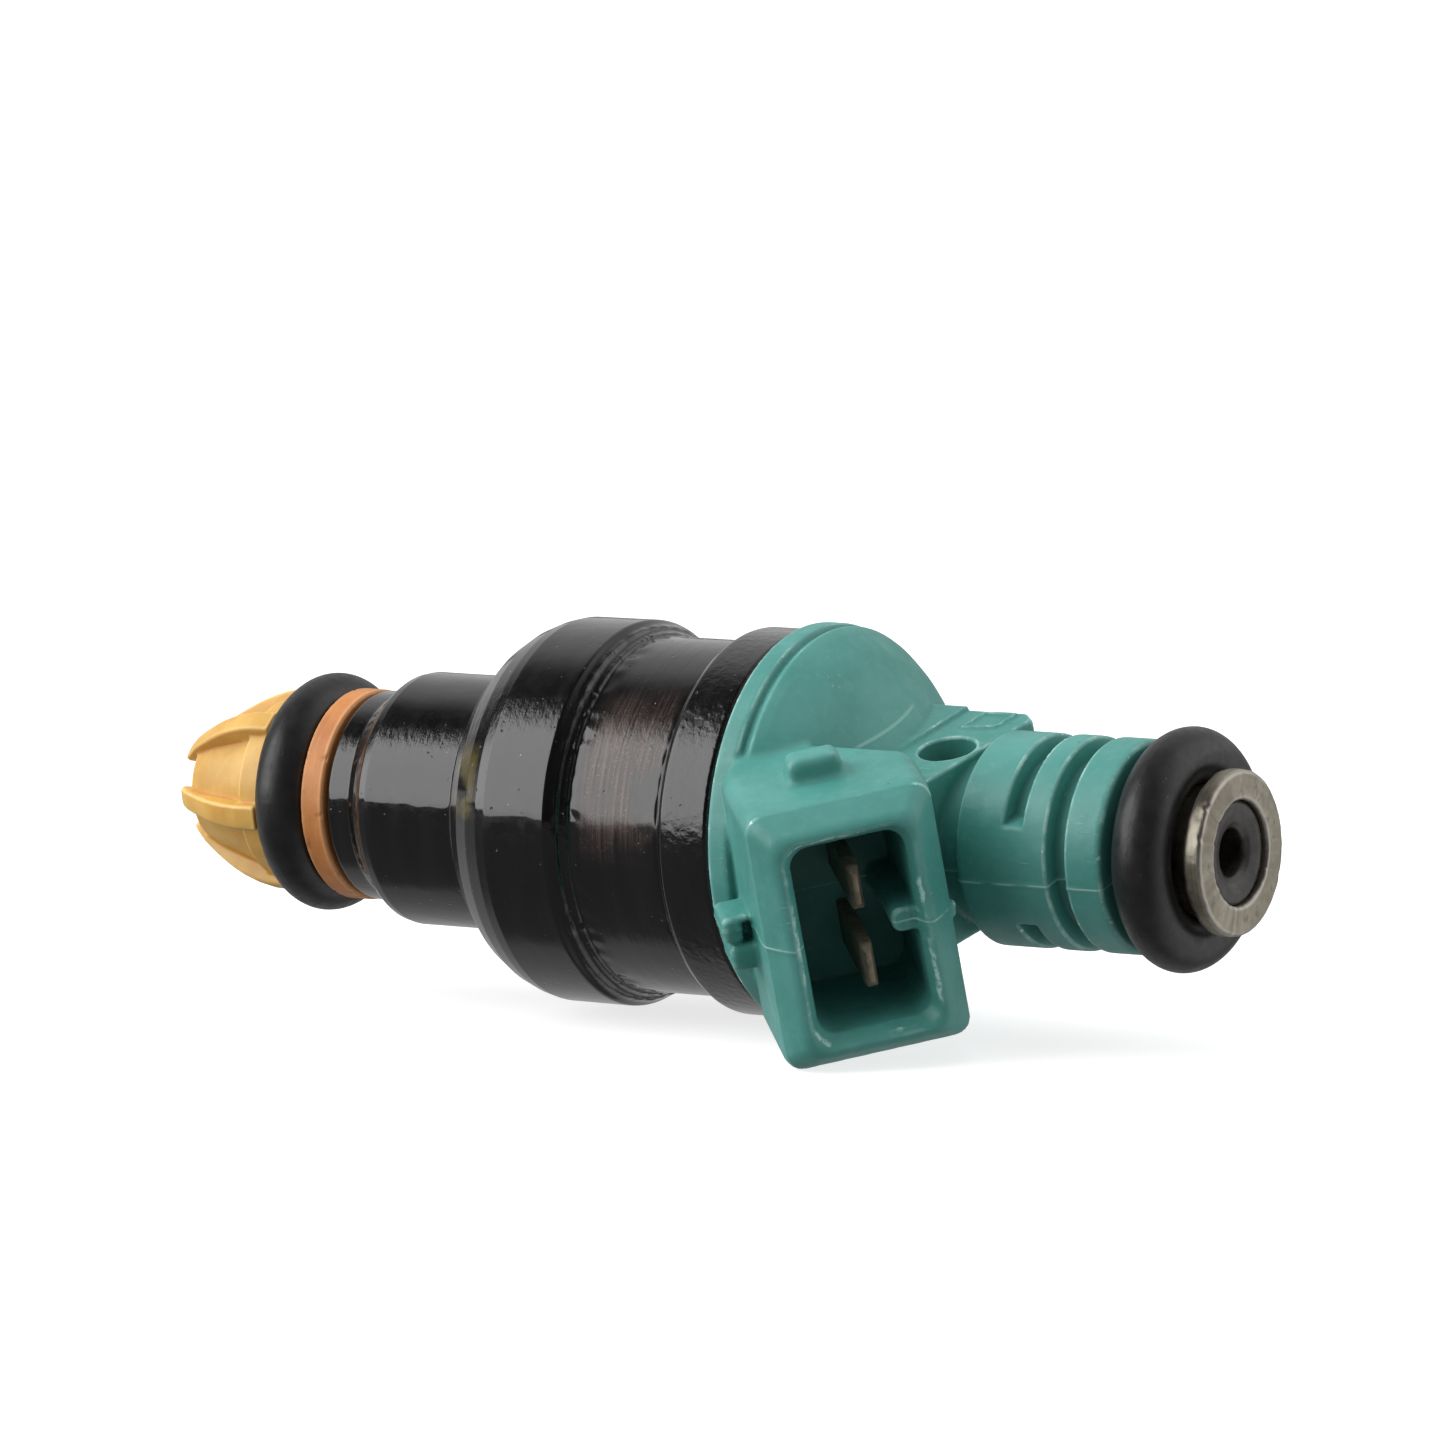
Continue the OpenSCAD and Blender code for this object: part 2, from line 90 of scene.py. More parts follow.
def soft_corners(points, radius):
    """Rounds every corner of a closed outline with a short curve."""
    pts = np.array(points, float)
    out = []
    for here, before, after in zip(pts, np.roll(pts, 1, 0), np.roll(pts, -1, 0)):
        u, v = before - here, after - here
        lu, lv = np.linalg.norm(u), np.linalg.norm(v)
        u, v = u / lu, v / lv
        bend = math.acos(np.clip(-(u @ v), -1, 1))
        if bend < STRAIGHT:
            out.append(here)
            continue
        reach = min(radius * math.tan(bend / 2) + 0.02, 0.45 * lu, 0.45 * lv)
        start, stop = here + u * reach, here + v * reach
        for k in np.linspace(0, 1, 6):
            out.append((1 - k) ** 2 * start + 2 * k * (1 - k) * here + k * k * stop)
    return np.array(out)


def finely(points, step):
    """Splits the sides of a closed outline so that none is longer than step."""
    out = []
    for a, b in zip(points, np.roll(points, -1, 0)):
        n = max(1, int(np.ceil(np.linalg.norm(b - a) / step)))
        out.extend(a + (b - a) * k / n for k in range(n))
    return np.array(out)


def bend_marks(bend, edge_from, cavity_from, span):
    """Marks of outside edges and inside corners, from how sharply a surface bends."""
    return {"edge": np.clip((bend - edge_from) / span, 0, 1),
            "cavity": np.clip((-bend - cavity_from) / span, 0, 1)}


def turned(name, outline, material, stands_for, push, corner, step, around, window=0.25):
    """A solid of revolution from a closed outline of (r, s), pushed along its normals."""
    line = finely(soft_corners(outline, corner), step)
    r, s = line[:, 0], line[:, 1]
    if np.sum(r * np.roll(s, -1) - np.roll(r, -1) * s) < 0:
        line = line[::-1]
        r, s = line[:, 0], line[:, 1]
    tangent = np.roll(line, -1, 0) - np.roll(line, 1, 0)
    tangent /= np.linalg.norm(tangent, axis=1, keepdims=True) + 1e-12
    normal = np.stack([tangent[:, 1], -tangent[:, 0]], 1)
    heading = np.unwrap(np.arctan2(tangent[:, 1], tangent[:, 0]))
    length = np.linalg.norm(np.roll(line, -1, 0) - line, axis=1)
    along = np.concatenate([[0], np.cumsum(length)[:-1]])
    total = length.sum()
    wrap_along = np.concatenate([along - total, along, along + total])
    wrap_heading = np.concatenate([heading - 2 * np.pi, heading, heading + 2 * np.pi])
    ahead, astern = (np.interp(along + shift, wrap_along, wrap_heading) for shift in (window, -window))
    theta = np.arange(around) * 2 * np.pi / around
    grid_t, grid_s = np.meshgrid(theta, s, indexing="ij")
    grid_r = np.broadcast_to(r, grid_s.shape)
    lift = push(grid_t, grid_s, grid_r, np.broadcast_to(normal[:, 0], grid_s.shape))
    radius = grid_r + lift * normal[:, 0]
    height = grid_s + lift * normal[:, 1]
    points = np.stack([radius * np.cos(grid_t), radius * np.sin(grid_t), height], -1).reshape(-1, 3)
    m = len(r)
    i, j = np.meshgrid(np.arange(around), np.arange(m), indexing="ij")
    i2, j2 = (i + 1) % around, (j + 1) % m
    quads = np.stack([i * m + j, i2 * m + j, i2 * m + j2, i * m + j2], -1).reshape(-1, 4)
    marks = bend_marks(np.tile(ahead - astern, around), 0.25, 0.25, 1.2)
    mesh_piece(name, points, quads, material, stands_for, marks)


def waves(seed, count, around, along, power=0.0):
    """A smooth random function of (angle, s): whole waves round the axis, wavelengths along it in mm."""
    rng = np.random.default_rng(seed)
    k = rng.integers(around[0], around[1] + 1, count)
    length = np.exp(rng.uniform(np.log(along[0]), np.log(along[1]), count))
    q = 2 * np.pi / length * rng.choice([-1, 1], count)
    phase = rng.uniform(0, 2 * np.pi, count)
    size = (1.0 / np.maximum(k, 1)) ** power
    size /= np.sqrt((size ** 2).sum() / 2)

    def at(theta, s):
        out = np.zeros_like(s)
        for i in range(count):
            out += size[i] * np.cos(k[i] * theta + q[i] * s + phase[i])
        return out
    return at


def bell(x, middle, width):
    """1 at the middle, falling off smoothly over the width."""
    return np.exp(-((x - middle) / width) ** 2)


def ease(x, a, b):
    """0 up to a, 1 from b, smooth between."""
    k = np.clip((x - a) / (b - a), 0, 1)
    return k * k * (3 - 2 * k)


# ---------------------------------------------------------------- signed distance shapes

def join(a, b, k):
    """Union with a fillet of about k."""
    h = np.clip(0.5 + 0.5 * (b - a) / k, 0, 1)
    return b + (a - b) * h - k * h * (1 - h)


def both(a, b, k):
    """Intersection with an edge rounded by about k."""
    return -join(-a, -b, k)


def less(a, b, k):
    """a without b, with an edge rounded by about k."""
    return -join(-a, b, k)


def slab(x, lo, hi):
    """Distance to the layer between lo and hi."""
    return np.abs(x - (lo + hi) / 2) - (hi - lo) / 2


def rounded_box2(x, y, hx, hy, r):
    """Distance to a rectangle of half sides hx and hy with corner radius r."""
    qx, qy = np.abs(x) - hx + r, np.abs(y) - hy + r
    return np.hypot(np.maximum(qx, 0), np.maximum(qy, 0)) + np.minimum(np.maximum(qx, qy), 0) - r


def polygon_distance(px, py, pts):
    """Signed distance to a polygon, negative inside."""
    d = np.full(px.shape, 1e9)
    inside = np.zeros(px.shape, bool)
    for (ax, ay), (bx, by) in zip(pts, pts[1:] + pts[:1]):
        ex, ey = bx - ax, by - ay
        h = np.clip(((px - ax) * ex + (py - ay) * ey) / (ex * ex + ey * ey), 0, 1)
        d = np.minimum(d, (px - ax - h * ex) ** 2 + (py - ay - h * ey) ** 2)
        if ay != by:
            cross = ax + (py - ay) * ex / ey
            inside ^= ((ay > py) != (by > py)) & (px < cross)
    return np.where(inside, -1, 1) * np.sqrt(d)


def plate(t, s, pts):
    """polygon_distance of (t, s) for arrays that still have to be broadcast against each other."""
    t, s = np.broadcast_arrays(t, s)
    if t.ndim == 3 and t.shape[0] == 1:
        return polygon_distance(t[0], s[0], pts)[None]
    return polygon_distance(t, s, pts)


class Turned:
    """Distance to a solid of revolution, read from a fine (r, s) table with its corners softened."""

    def __init__(self, pts, r_max, s_min, s_max, soften, step=0.04):
        self.lo, self.step = (-0.6, s_min), step
        gr = np.arange(self.lo[0], r_max, step)
        gs = np.arange(s_min, s_max, step)
        mirrored = [(r if r > 0 else -3.0, s) for r, s in pts]
        table = polygon_distance(*np.meshgrid(gr, gs, indexing="ij"), mirrored)
        reach = int(3 * soften / step)
        kernel = np.exp(-0.5 * (np.arange(-reach, reach + 1) * step / soften) ** 2)
        kernel /= kernel.sum()
        for axis in (0, 1):
            margin = [(reach, reach) if a == axis else (0, 0) for a in (0, 1)]
            padded = np.pad(table, margin, mode="edge")
            table = np.apply_along_axis(np.convolve, axis, padded, kernel, "valid")
        self.table = table.astype(np.float32)

    def __call__(self, r, s):
        x = np.clip((r - self.lo[0]) / self.step, 0, self.table.shape[0] - 1.001)
        y = np.clip((s - self.lo[1]) / self.step, 0, self.table.shape[1] - 1.001)
        i, j = x.astype(np.int32), y.astype(np.int32)
        fx, fy = x - i, y - j
        t = self.table
        low = t[i, j] * (1 - fx) + t[i + 1, j] * fx
        high = t[i, j + 1] * (1 - fx) + t[i + 1, j + 1] * fx
        return low * (1 - fy) + high * fy


CORNERS = [(a, b) for a in (0, 1) for b in (0, 1)]


def surface(shape, lo, hi, step):
    """Points, quads and marks of the zero surface of shape(w, t, s), by surface nets."""
    axes = [np.arange(l, h + step, step, dtype=np.float32) for l, h in zip(lo, hi)]
    f = shape(*np.meshgrid(*axes, indexing="ij", sparse=True)).astype(np.float32)
    f = np.broadcast_to(f, [len(a) for a in axes])
    inside = f < 0
    n = [len(a) - 1 for a in axes]
    count = np.zeros(n, np.int8)
    for a in (0, 1):
        for b, c in CORNERS:
            count += inside[a:a + n[0], b:b + n[1], c:c + n[2]]
    # one point in each cell that the surface crosses, at the mean of its crossings
    active = (count > 0) & (count < 8)
    index = np.full(n, -1, np.int32)
    cells = np.argwhere(active)
    index[active] = np.arange(len(cells))
    place = np.zeros((len(cells), 3))
    hits = np.zeros(len(cells))
    for axis in range(3):
        others = [a for a in range(3) if a != axis]
        for pair in CORNERS:
            near = cells.copy()
            near[:, others[0]] += pair[0]
            near[:, others[1]] += pair[1]
            far = near.copy()
            far[:, axis] += 1
            fa, fb = f[tuple(near.T)], f[tuple(far.T)]
            cut = (fa < 0) != (fb < 0)
            share = np.where(cut, fa / np.where(cut, fa - fb, 1), 0)
            spot = near.astype(float)
            spot[:, axis] += share
            place += spot * cut[:, None]
            hits += cut
    points = np.array(lo, float) + place / hits[:, None] * step
    # one quad round each grid line that it crosses
    quads = []
    for axis in range(3):
        b, c = (axis + 1) % 3, (axis + 2) % 3
        front = [slice(1, m) for m in n]
        front[axis] = slice(0, n[axis])
        back = list(front)
        back[axis] = slice(1, n[axis] + 1)
        first, second = inside[tuple(front)], inside[tuple(back)]
        crossing = np.argwhere(first != second)
        crossing[:, b] += 1
        crossing[:, c] += 1
        outward = first[first != second]
        ring = []
        for db, dc in ((-1, -1), (0, -1), (0, 0), (-1, 0)):
            cell = crossing.copy()
            cell[:, b] += db
            cell[:, c] += dc
            ring.append(index[tuple(cell.T)])
        ring = np.stack(ring, 1)
        quads.append(np.where(outward[:, None], ring, ring[:, ::-1]))
    quads = np.concatenate(quads)
    # points drawn onto the surface itself, then the bend within reach of each
    near, limit, reach = 0.25 * step, 0.6 * step, 0.3
    for _ in range(3):
        value = shape(*points.T)
        slope = np.stack([shape(*(points + near * e).T) - shape(*(points - near * e).T)
                          for e in np.eye(3)], 1) / (2 * near)
        move = -(value / np.maximum((slope ** 2).sum(1), 0.2))[:, None] * slope
        size = np.linalg.norm(move, axis=1, keepdims=True)
        points = points + move * np.minimum(1, limit / np.maximum(size, 1e-9))
    spread = sum(shape(*(points + reach * e).T) + shape(*(points - reach * e).T) for e in np.eye(3))
    bend = (spread - 6 * shape(*points.T)) / reach
    return points, quads, bend_marks(bend, 0.25, 0.2, 1.1)


def thin_out(piece, share):
    """Merges the flattest faces of a dense mesh."""
    bpy.context.view_layer.objects.active = piece
    step = piece.modifiers.new("thin", "DECIMATE")
    step.ratio = share
    bpy.ops.object.modifier_apply(modifier=step.name)
    piece.data.polygons.foreach_set("use_smooth", np.ones(len(piece.data.polygons), bool))


# ---------------------------------------------------------------- materials

class Nodes:
    """Short names for the nodes that the materials and the world are made of."""

    def __init__(self, tree):
        self.tree = tree

    def node(self, kind, **props):
        made = self.tree.nodes.new("ShaderNode" + kind)
        for key, value in props.items():
            setattr(made, key, value)
        return made

    def feed(self, socket, value):
        if isinstance(value, bpy.types.NodeSocket):
            self.tree.links.new(value, socket)
        elif isinstance(value, tuple) and len(value) == 3 and socket.type == "RGBA":
            socket.default_value = (*value, 1)
        else:
            socket.default_value = value

    def math(self, operation, a, b=0.0):
        made = self.node("Math", operation=operation)
        self.feed(made.inputs[0], a)
        self.feed(made.inputs[1], b)
        return made.outputs[0]

    def product(self, first, *others):
        for value in others:
            first = self.math("MULTIPLY", first, value)
        return first

    def ramp(self, value, a, b, lo=0.0, hi=1.0):
        """lo up to a, hi from b, smooth between."""
        made = self.node("MapRange", interpolation_type="SMOOTHSTEP", clamp=True)
        self.feed(made.inputs["Value"], value)
        for key, number in (("From Min", a), ("From Max", b), ("To Min", lo), ("To Max", hi)):
            made.inputs[key].default_value = number
        return made.outputs["Result"]


class Mat(Nodes):
    """A node material on one Principled shader; lengths in its textures are mm."""

    def __init__(self, name, **fixed):
        self.mat = bpy.data.materials.new(name)
        self.mat.use_nodes = True
        super().__init__(self.mat.node_tree)
        self.out = self.tree.nodes["Principled BSDF"]
        for key, value in fixed.items():
            self.out.inputs[key.replace("_", " ")].default_value = value
        self.mm = self.vector("SCALE", self.node("TexCoord").outputs["Object"], scale=1000.0)

    def vector(self, operation, a, b=None, scale=None):
        made = self.node("VectorMath", operation=operation)
        self.feed(made.inputs[0], a)
        if b is not None:
            self.feed(made.inputs[1], b)
        if scale is not None:
            self.feed(made.inputs["Scale"], scale)
        return made.outputs["Value" if operation == "LENGTH" else "Vector"]

    def stretched(self, x, y, z):
        return self.vector("MULTIPLY", self.mm, (x, y, z))

    def noise(self, scale, detail=2.0, rough=0.5, where=None, distort=0.0):
        made = self.node("TexNoise")
        self.feed(made.inputs["Vector"], self.mm if where is None else where)
        made.inputs["Scale"].default_value = scale
        made.inputs["Detail"].default_value = detail
        made.inputs["Roughness"].default_value = rough
        made.inputs["Distortion"].default_value = distort
        return made.outputs["Fac"]

    def cells(self, scale):
        made = self.node("TexVoronoi", feature="F1")
        self.feed(made.inputs["Vector"], self.mm)
        made.inputs["Scale"].default_value = scale
        return made.outputs["Distance"]

    def between(self, value, a, b):
        """0 at a, 1 at b, smooth and clamped; a may be above b."""
        return self.ramp(value, b, a, 1.0, 0.0) if a > b else self.ramp(value, a, b)

    def mark(self, name):
        return self.node("Attribute", attribute_name=name).outputs["Fac"]

    def mix(self, share, a, b):
        made = self.node("Mix", data_type="RGBA")
        self.feed(made.inputs[0], share)
        self.feed(made.inputs[6], a)
        self.feed(made.inputs[7], b)
        return made.outputs[2]

    def blend(self, share, a, b):
        made = self.node("Mix", data_type="FLOAT")
        self.feed(made.inputs[0], share)
        self.feed(made.inputs[2], a)
        self.feed(made.inputs[3], b)
        return made.outputs[0]

    def axes(self):
        made = self.node("SeparateXYZ")
        self.feed(made.inputs[0], self.mm)
        return made.outputs[0], made.outputs[1], made.outputs[2]

    def local(self):
        """The local w, t and s of a point in mm, from its place in the row frame."""
        x, y, z = self.axes()
        w = self.rotated(y, z, -math.sin(ROLL), math.cos(ROLL))
        t = self.rotated(y, z, -math.cos(ROLL), -math.sin(ROLL))
        return w, t, x

    def rotated(self, a, b, share_a, share_b):
        """a * share_a + b * share_b, one row of a rotation."""
        return self.math("ADD", self.math("MULTIPLY", a, share_a), self.math("MULTIPLY", b, share_b))

    def rounded_box(self, x, y, half_x, half_y, radius):
        """Distance from a rectangle with rounded corners, as rounded_box2()."""
        qx = self.math("ADD", self.math("ABSOLUTE", x), radius - half_x)
        qy = self.math("ADD", self.math("ABSOLUTE", y), radius - half_y)
        corner = self.node("CombineXYZ")
        self.feed(corner.inputs[0], self.math("MAXIMUM", qx, 0.0))
        self.feed(corner.inputs[1], self.math("MAXIMUM", qy, 0.0))
        outer = self.vector("LENGTH", corner.outputs[0])
        inner = self.math("MINIMUM", self.math("MAXIMUM", qx, qy), 0.0)
        return self.math("SUBTRACT", self.math("ADD", outer, inner), radius)

    def bump(self, height, distance, under=None):
        """A bump of the given height in mm, on top of another."""
        made = self.node("Bump")
        made.inputs["Distance"].default_value = distance / 1000
        self.feed(made.inputs["Height"], height)
        if under is not None:
            self.feed(made.inputs["Normal"], under)
        return made.outputs["Normal"]

    def finish(self, colour, rough, normal=None, coat_normal=None):
        """Feeds the shader and gives the material."""
        for key, value in (("Base Color", colour), ("Roughness", rough), ("Normal", normal),
                           ("Coat Normal", coat_normal)):
            if value is not None:
                self.feed(self.out.inputs[key], value)
        return self.mat


def green_plastic():
    m = Mat("green_moulding", IOR=1.5)
    w, t, s = m.local()
    cloud = m.noise(0.16, 3, 0.55)
    fine = m.noise(1.6, 4, 0.6)
    colour = m.mix(m.between(cloud, 0.35, 0.7), (0.050, 0.238, 0.208), (0.074, 0.280, 0.250))
    colour = m.mix(m.product(m.between(fine, 0.45, 0.75), 0.30), colour, (0.105, 0.330, 0.300))
    # painted shade: inside corners and hollows darkened toward deep green
    cavity = m.mark("cavity")
    colour = m.mix(m.product(cavity, 0.45), colour, (0.012, 0.110, 0.095))
    # worn and whitened edges, broken up along their length
    edge = m.mark("edge")
    patch = m.between(m.noise(0.55, 4, 0.65), 0.42, 0.66)
    worn = m.product(m.between(edge, 0.25, 0.85), m.blend(patch, 0.18, 0.75))
    colour = m.mix(worn, colour, (0.36, 0.60, 0.55))
    nick = m.product(m.between(edge, 0.35, 0.8), m.between(m.noise(1.3, 3, 0.6), 0.64, 0.70))
    colour = m.mix(m.product(nick, 0.8), colour, (0.62, 0.80, 0.76))
    # scraped line round the mouth of the plug, in stretches
    out, back = m.math("SUBTRACT", t, PLUG_T), m.math("SUBTRACT", s, PLUG_S)
    y = m.rotated(out, back, math.cos(PLUG_TURN), -math.sin(PLUG_TURN))
    z = m.rotated(out, back, math.sin(PLUG_TURN), math.cos(PLUG_TURN))
    ring = m.rounded_box(w, y, 6.42, 3.86, 1.5)
    ring = m.math("ADD", ring, m.product(m.math("SUBTRACT", m.noise(0.9, 3, 0.6), 0.5), 0.5))
    scrape = m.product(m.between(m.math("ABSOLUTE", ring), 0.15, 0.05), m.between(z, -1.6, -1.0),
                       m.between(m.noise(0.38, 2, 0.5), 0.42, 0.56),
                       m.between(m.noise(2.4, 4, 0.7), 0.36, 0.55))
    colour = m.mix(m.product(scrape, 0.8), colour, (0.44, 0.68, 0.64))
    # painted highlight: a pale line along the fold where the dome meets the web
    fold_highlight = m.between(m.math("ABSOLUTE", m.math("SUBTRACT", w, 6.9)), 0.13, 0.03)
    for value, a, b in ((t, -3.4, -2.4), (t, 3.8, 3.2), (s, 40.1, 40.5), (s, 43.2, 42.6)):
        fold_highlight = m.product(fold_highlight, m.between(value, a, b))
    colour = m.mix(m.product(fold_highlight, 0.45), colour, (0.30, 0.55, 0.50))
    # witness line of the mould on the parting plane
    line = m.between(m.math("ABSOLUTE", m.math("ADD", w, m.product(m.noise(0.3), 0.05))), 0.10, 0.02)
    line = m.product(line, m.between(m.noise(0.5, 3, 0.6), 0.35, 0.60))
    colour = m.mix(m.product(line, 0.55), colour, (0.42, 0.66, 0.60))
    # scuffs and a few dark specks
    scuff = m.noise(1.0, 3, 0.6, m.stretched(0.5, 3.2, 3.2), 0.6)
    scuff = m.product(m.between(scuff, 0.63, 0.72), m.between(m.noise(0.22, 2), 0.5, 0.65))
    colour = m.mix(m.product(scuff, 0.35), colour, (0.35, 0.58, 0.53))
    speck = m.product(m.between(m.cells(0.75), 0.075, 0.045), m.between(m.noise(0.31), 0.56, 0.62))
    colour = m.mix(m.product(speck, 0.8), colour, (0.012, 0.03, 0.03))
    rough = m.blend(m.between(m.noise(0.7, 4, 0.6), 0.3, 0.7), 0.36, 0.50)
    rough = m.blend(worn, rough, 0.62)
    grain = m.bump(m.noise(5.0, 3, 0.6), 0.012)
    swell = m.bump(m.noise(0.35, 3, 0.5), 0.09, under=grain)
    ridge = m.bump(line, 0.03, under=swell)
    pit = m.bump(m.math("ADD", m.product(nick, -1.0), scuff), 0.02, under=ridge)
    return m.finish(colour, rough, pit)


def black_lacquer():
    m = Mat("black_lacquer", IOR=1.5, Coat_Weight=1.0, Coat_Roughness=0.035, Coat_IOR=1.5,
            Specular_IOR_Level=0.25)
    s, y, z = m.axes()
    lines = m.noise(1.0, 4, 0.65, m.stretched(5.5, 0.12, 0.12))
    broad = m.noise(1.0, 3, 0.6, m.stretched(0.9, 0.10, 0.10))
    colour = m.mix(m.between(broad, 0.35, 0.7), (0.0030, 0.0028, 0.0032), (0.0070, 0.0062, 0.0066))
    front = m.between(y, 1.0, -3.0)
    # painted reflection: a brownish tint with turned lines and light sparkle in the band where the soft box
    # is reflected on the body behind the collar; the coat there is also thinner and rougher
    thin = m.product(m.between(s, 24.2, 25.4), m.between(s, 30.6, 29.6), m.between(z, -2.0, 2.5),
                     m.between(z, 10.0, 4.5), m.between(m.noise(0.28, 3, 0.6), 0.32, 0.62))
    brown = m.mix(m.between(lines, 0.35, 0.68), (0.020, 0.012, 0.010), (0.125, 0.085, 0.073))
    colour = m.mix(m.product(thin, 0.85), colour, brown)
    # painted glints: light sparkle inside the same reflection band
    spark = m.product(m.between(m.noise(6.0, 2, 0.7), 0.58, 0.68), thin)
    colour = m.mix(m.product(spark, 0.40), colour, (0.22, 0.17, 0.155))
    # painted reflection: an olive tint on the front of the collar's shoulder, where the chamfer's reflection
    # falls
    olive = m.product(m.between(s, 15.0, 15.6), m.between(s, 17.9, 17.2), front, m.between(z, 0.3, 1.4),
                      m.between(z, 5.6, 4.4), m.between(m.noise(0.6, 3, 0.5), 0.36, 0.52))
    colour = m.mix(m.product(olive, 0.8), colour, (0.085, 0.066, 0.020))
    dust = m.product(m.between(m.cells(0.9), 0.06, 0.03), m.between(m.noise(0.5, 2), 0.52, 0.60))
    colour = m.mix(m.product(dust, 0.7), colour, (0.30, 0.29, 0.30))
    edge = m.mark("edge")
    rub = m.product(m.between(edge, 0.3, 0.9), m.between(m.noise(0.9, 4, 0.65), 0.52, 0.70))
    colour = m.mix(m.product(rub, 0.15), colour, (0.08, 0.075, 0.075))
    # runs and grains in the coat high on the side, where it sagged before it set
    height = m.math("DIVIDE", z, m.vector("LENGTH", m.stretched(0.0, 1.0, 1.0)))
    sagged = m.product(m.between(height, 0.44, 0.56), m.between(height, 0.80, 0.70), front)
    runs = m.noise(1.0, 4, 0.65, m.stretched(2.6, 1.3, 1.3))
    crust = m.product(m.between(s, 30.9, 31.6), m.between(s, 35.0, 34.4))
    crust = m.math("MAXIMUM", crust, m.product(m.between(s, 23.1, 23.4), m.between(s, 24.4, 24.0)))
    rough = m.blend(m.between(m.noise(1.4, 4, 0.6), 0.35, 0.7), 0.10, 0.24)
    rough = m.blend(m.product(thin, 0.6), rough, 0.30)
    pits = m.product(m.between(m.cells(1.5), 0.16, 0.05), m.between(m.noise(0.6, 2), 0.50, 0.62))
    rugged = m.product(m.noise(2.2, 4, 0.65), crust)
    skin = m.bump(m.noise(1.1, 2, 0.5), 0.004)
    skin = m.bump(pits, -0.03, under=skin)
    skin = m.bump(rugged, 0.03, under=skin)
    uneven = m.blend(thin, sagged, m.math("ADD", sagged, 0.18))
    skin = m.bump(m.product(runs, uneven), 0.035, under=skin)
    base = m.bump(lines, 0.010, under=skin)
    skin = m.bump(m.product(m.math("ADD", lines, m.noise(9.0, 2, 0.6)), thin), 0.008, under=skin)
    m.feed(m.out.inputs["Coat Weight"], m.blend(thin, 1.0, 0.75))
    return m.finish(colour, rough, base, coat_normal=skin)


def seal_rubber():
    m = Mat("seal_rubber", IOR=1.5)
    cloud = m.between(m.noise(0.5, 3, 0.6), 0.3, 0.7)
    colour = m.mix(cloud, (0.0075, 0.0080, 0.0085), (0.0150, 0.0150, 0.0155))
    dust = m.product(m.between(m.cells(1.25), 0.060, 0.030), m.between(m.noise(0.45, 2), 0.50, 0.58))
    lint = m.product(m.between(m.cells(0.55), 0.040, 0.022), m.between(m.noise(0.23, 2), 0.48, 0.56))
    colour = m.mix(m.product(m.math("MAXIMUM", dust, lint), 0.55), colour, (0.20, 0.20, 0.20))
    haze = m.between(m.noise(0.9, 5, 0.7), 0.5, 0.8)
    colour = m.mix(m.product(haze, 0.25), colour, (0.035, 0.035, 0.036))
    rough = m.blend(m.between(m.noise(1.7, 4, 0.6), 0.3, 0.7), 0.30, 0.44)
    normal = m.bump(m.noise(4.5, 4, 0.6), 0.008)
    normal = m.bump(m.noise(0.8, 2), 0.03, under=normal)
    return m.finish(colour, rough, normal)


def orange_plastic():
    m = Mat("orange_spacer", IOR=1.48)
    colour = m.mix(m.between(m.noise(0.35, 3, 0.6), 0.3, 0.7), (0.46, 0.163, 0.043), (0.57, 0.229, 0.066))
    streak = m.noise(1.0, 3, 0.6, m.stretched(4.0, 0.3, 0.3))
    colour = m.mix(m.product(m.between(streak, 0.5, 0.75), 0.25), colour, (0.74, 0.38, 0.15))
    edge = m.mark("edge")
    colour = m.mix(m.product(m.between(edge, 0.3, 0.9), 0.35), colour, (0.80, 0.45, 0.22))
    grime = m.product(m.between(m.noise(1.1, 4, 0.65), 0.60, 0.74), 0.5)
    colour = m.mix(grime, colour, (0.20, 0.07, 0.03))
    rough = m.blend(m.between(m.noise(1.2, 4), 0.3, 0.7), 0.42, 0.56)
    normal = m.bump(m.noise(4.0, 3, 0.6), 0.012)
    normal = m.bump(streak, 0.015, under=normal)
    return m.finish(colour, rough, normal)


def yellow_plastic():
    m = Mat("yellow_cap", IOR=1.48, Subsurface_Weight=0.35, Subsurface_Scale=0.0012)
    m.out.inputs["Subsurface Radius"].default_value = (1.0, 0.55, 0.20)
    colour = m.mix(m.between(m.noise(0.4, 3, 0.6), 0.3, 0.7), (0.54, 0.295, 0.054), (0.63, 0.385, 0.092))
    # painted shade: recesses between the ribs turned orange
    cavity = m.mark("cavity")
    colour = m.mix(m.product(m.between(cavity, 0.15, 0.8), 0.75), colour, (0.55, 0.20, 0.020))
    edge = m.mark("edge")
    colour = m.mix(m.product(m.between(edge, 0.35, 0.95), 0.35), colour, (0.90, 0.67, 0.33))
    stain = m.between(m.noise(0.8, 4, 0.65), 0.63, 0.76)
    colour = m.mix(m.product(stain, 0.30), colour, (0.60, 0.30, 0.07))
    rough = m.blend(m.between(m.noise(1.5, 4), 0.3, 0.7), 0.34, 0.48)
    normal = m.bump(m.noise(3.5, 3, 0.6), 0.012)
    normal = m.bump(m.noise(0.6, 2), 0.05, under=normal)
    return m.finish(colour, rough, normal)


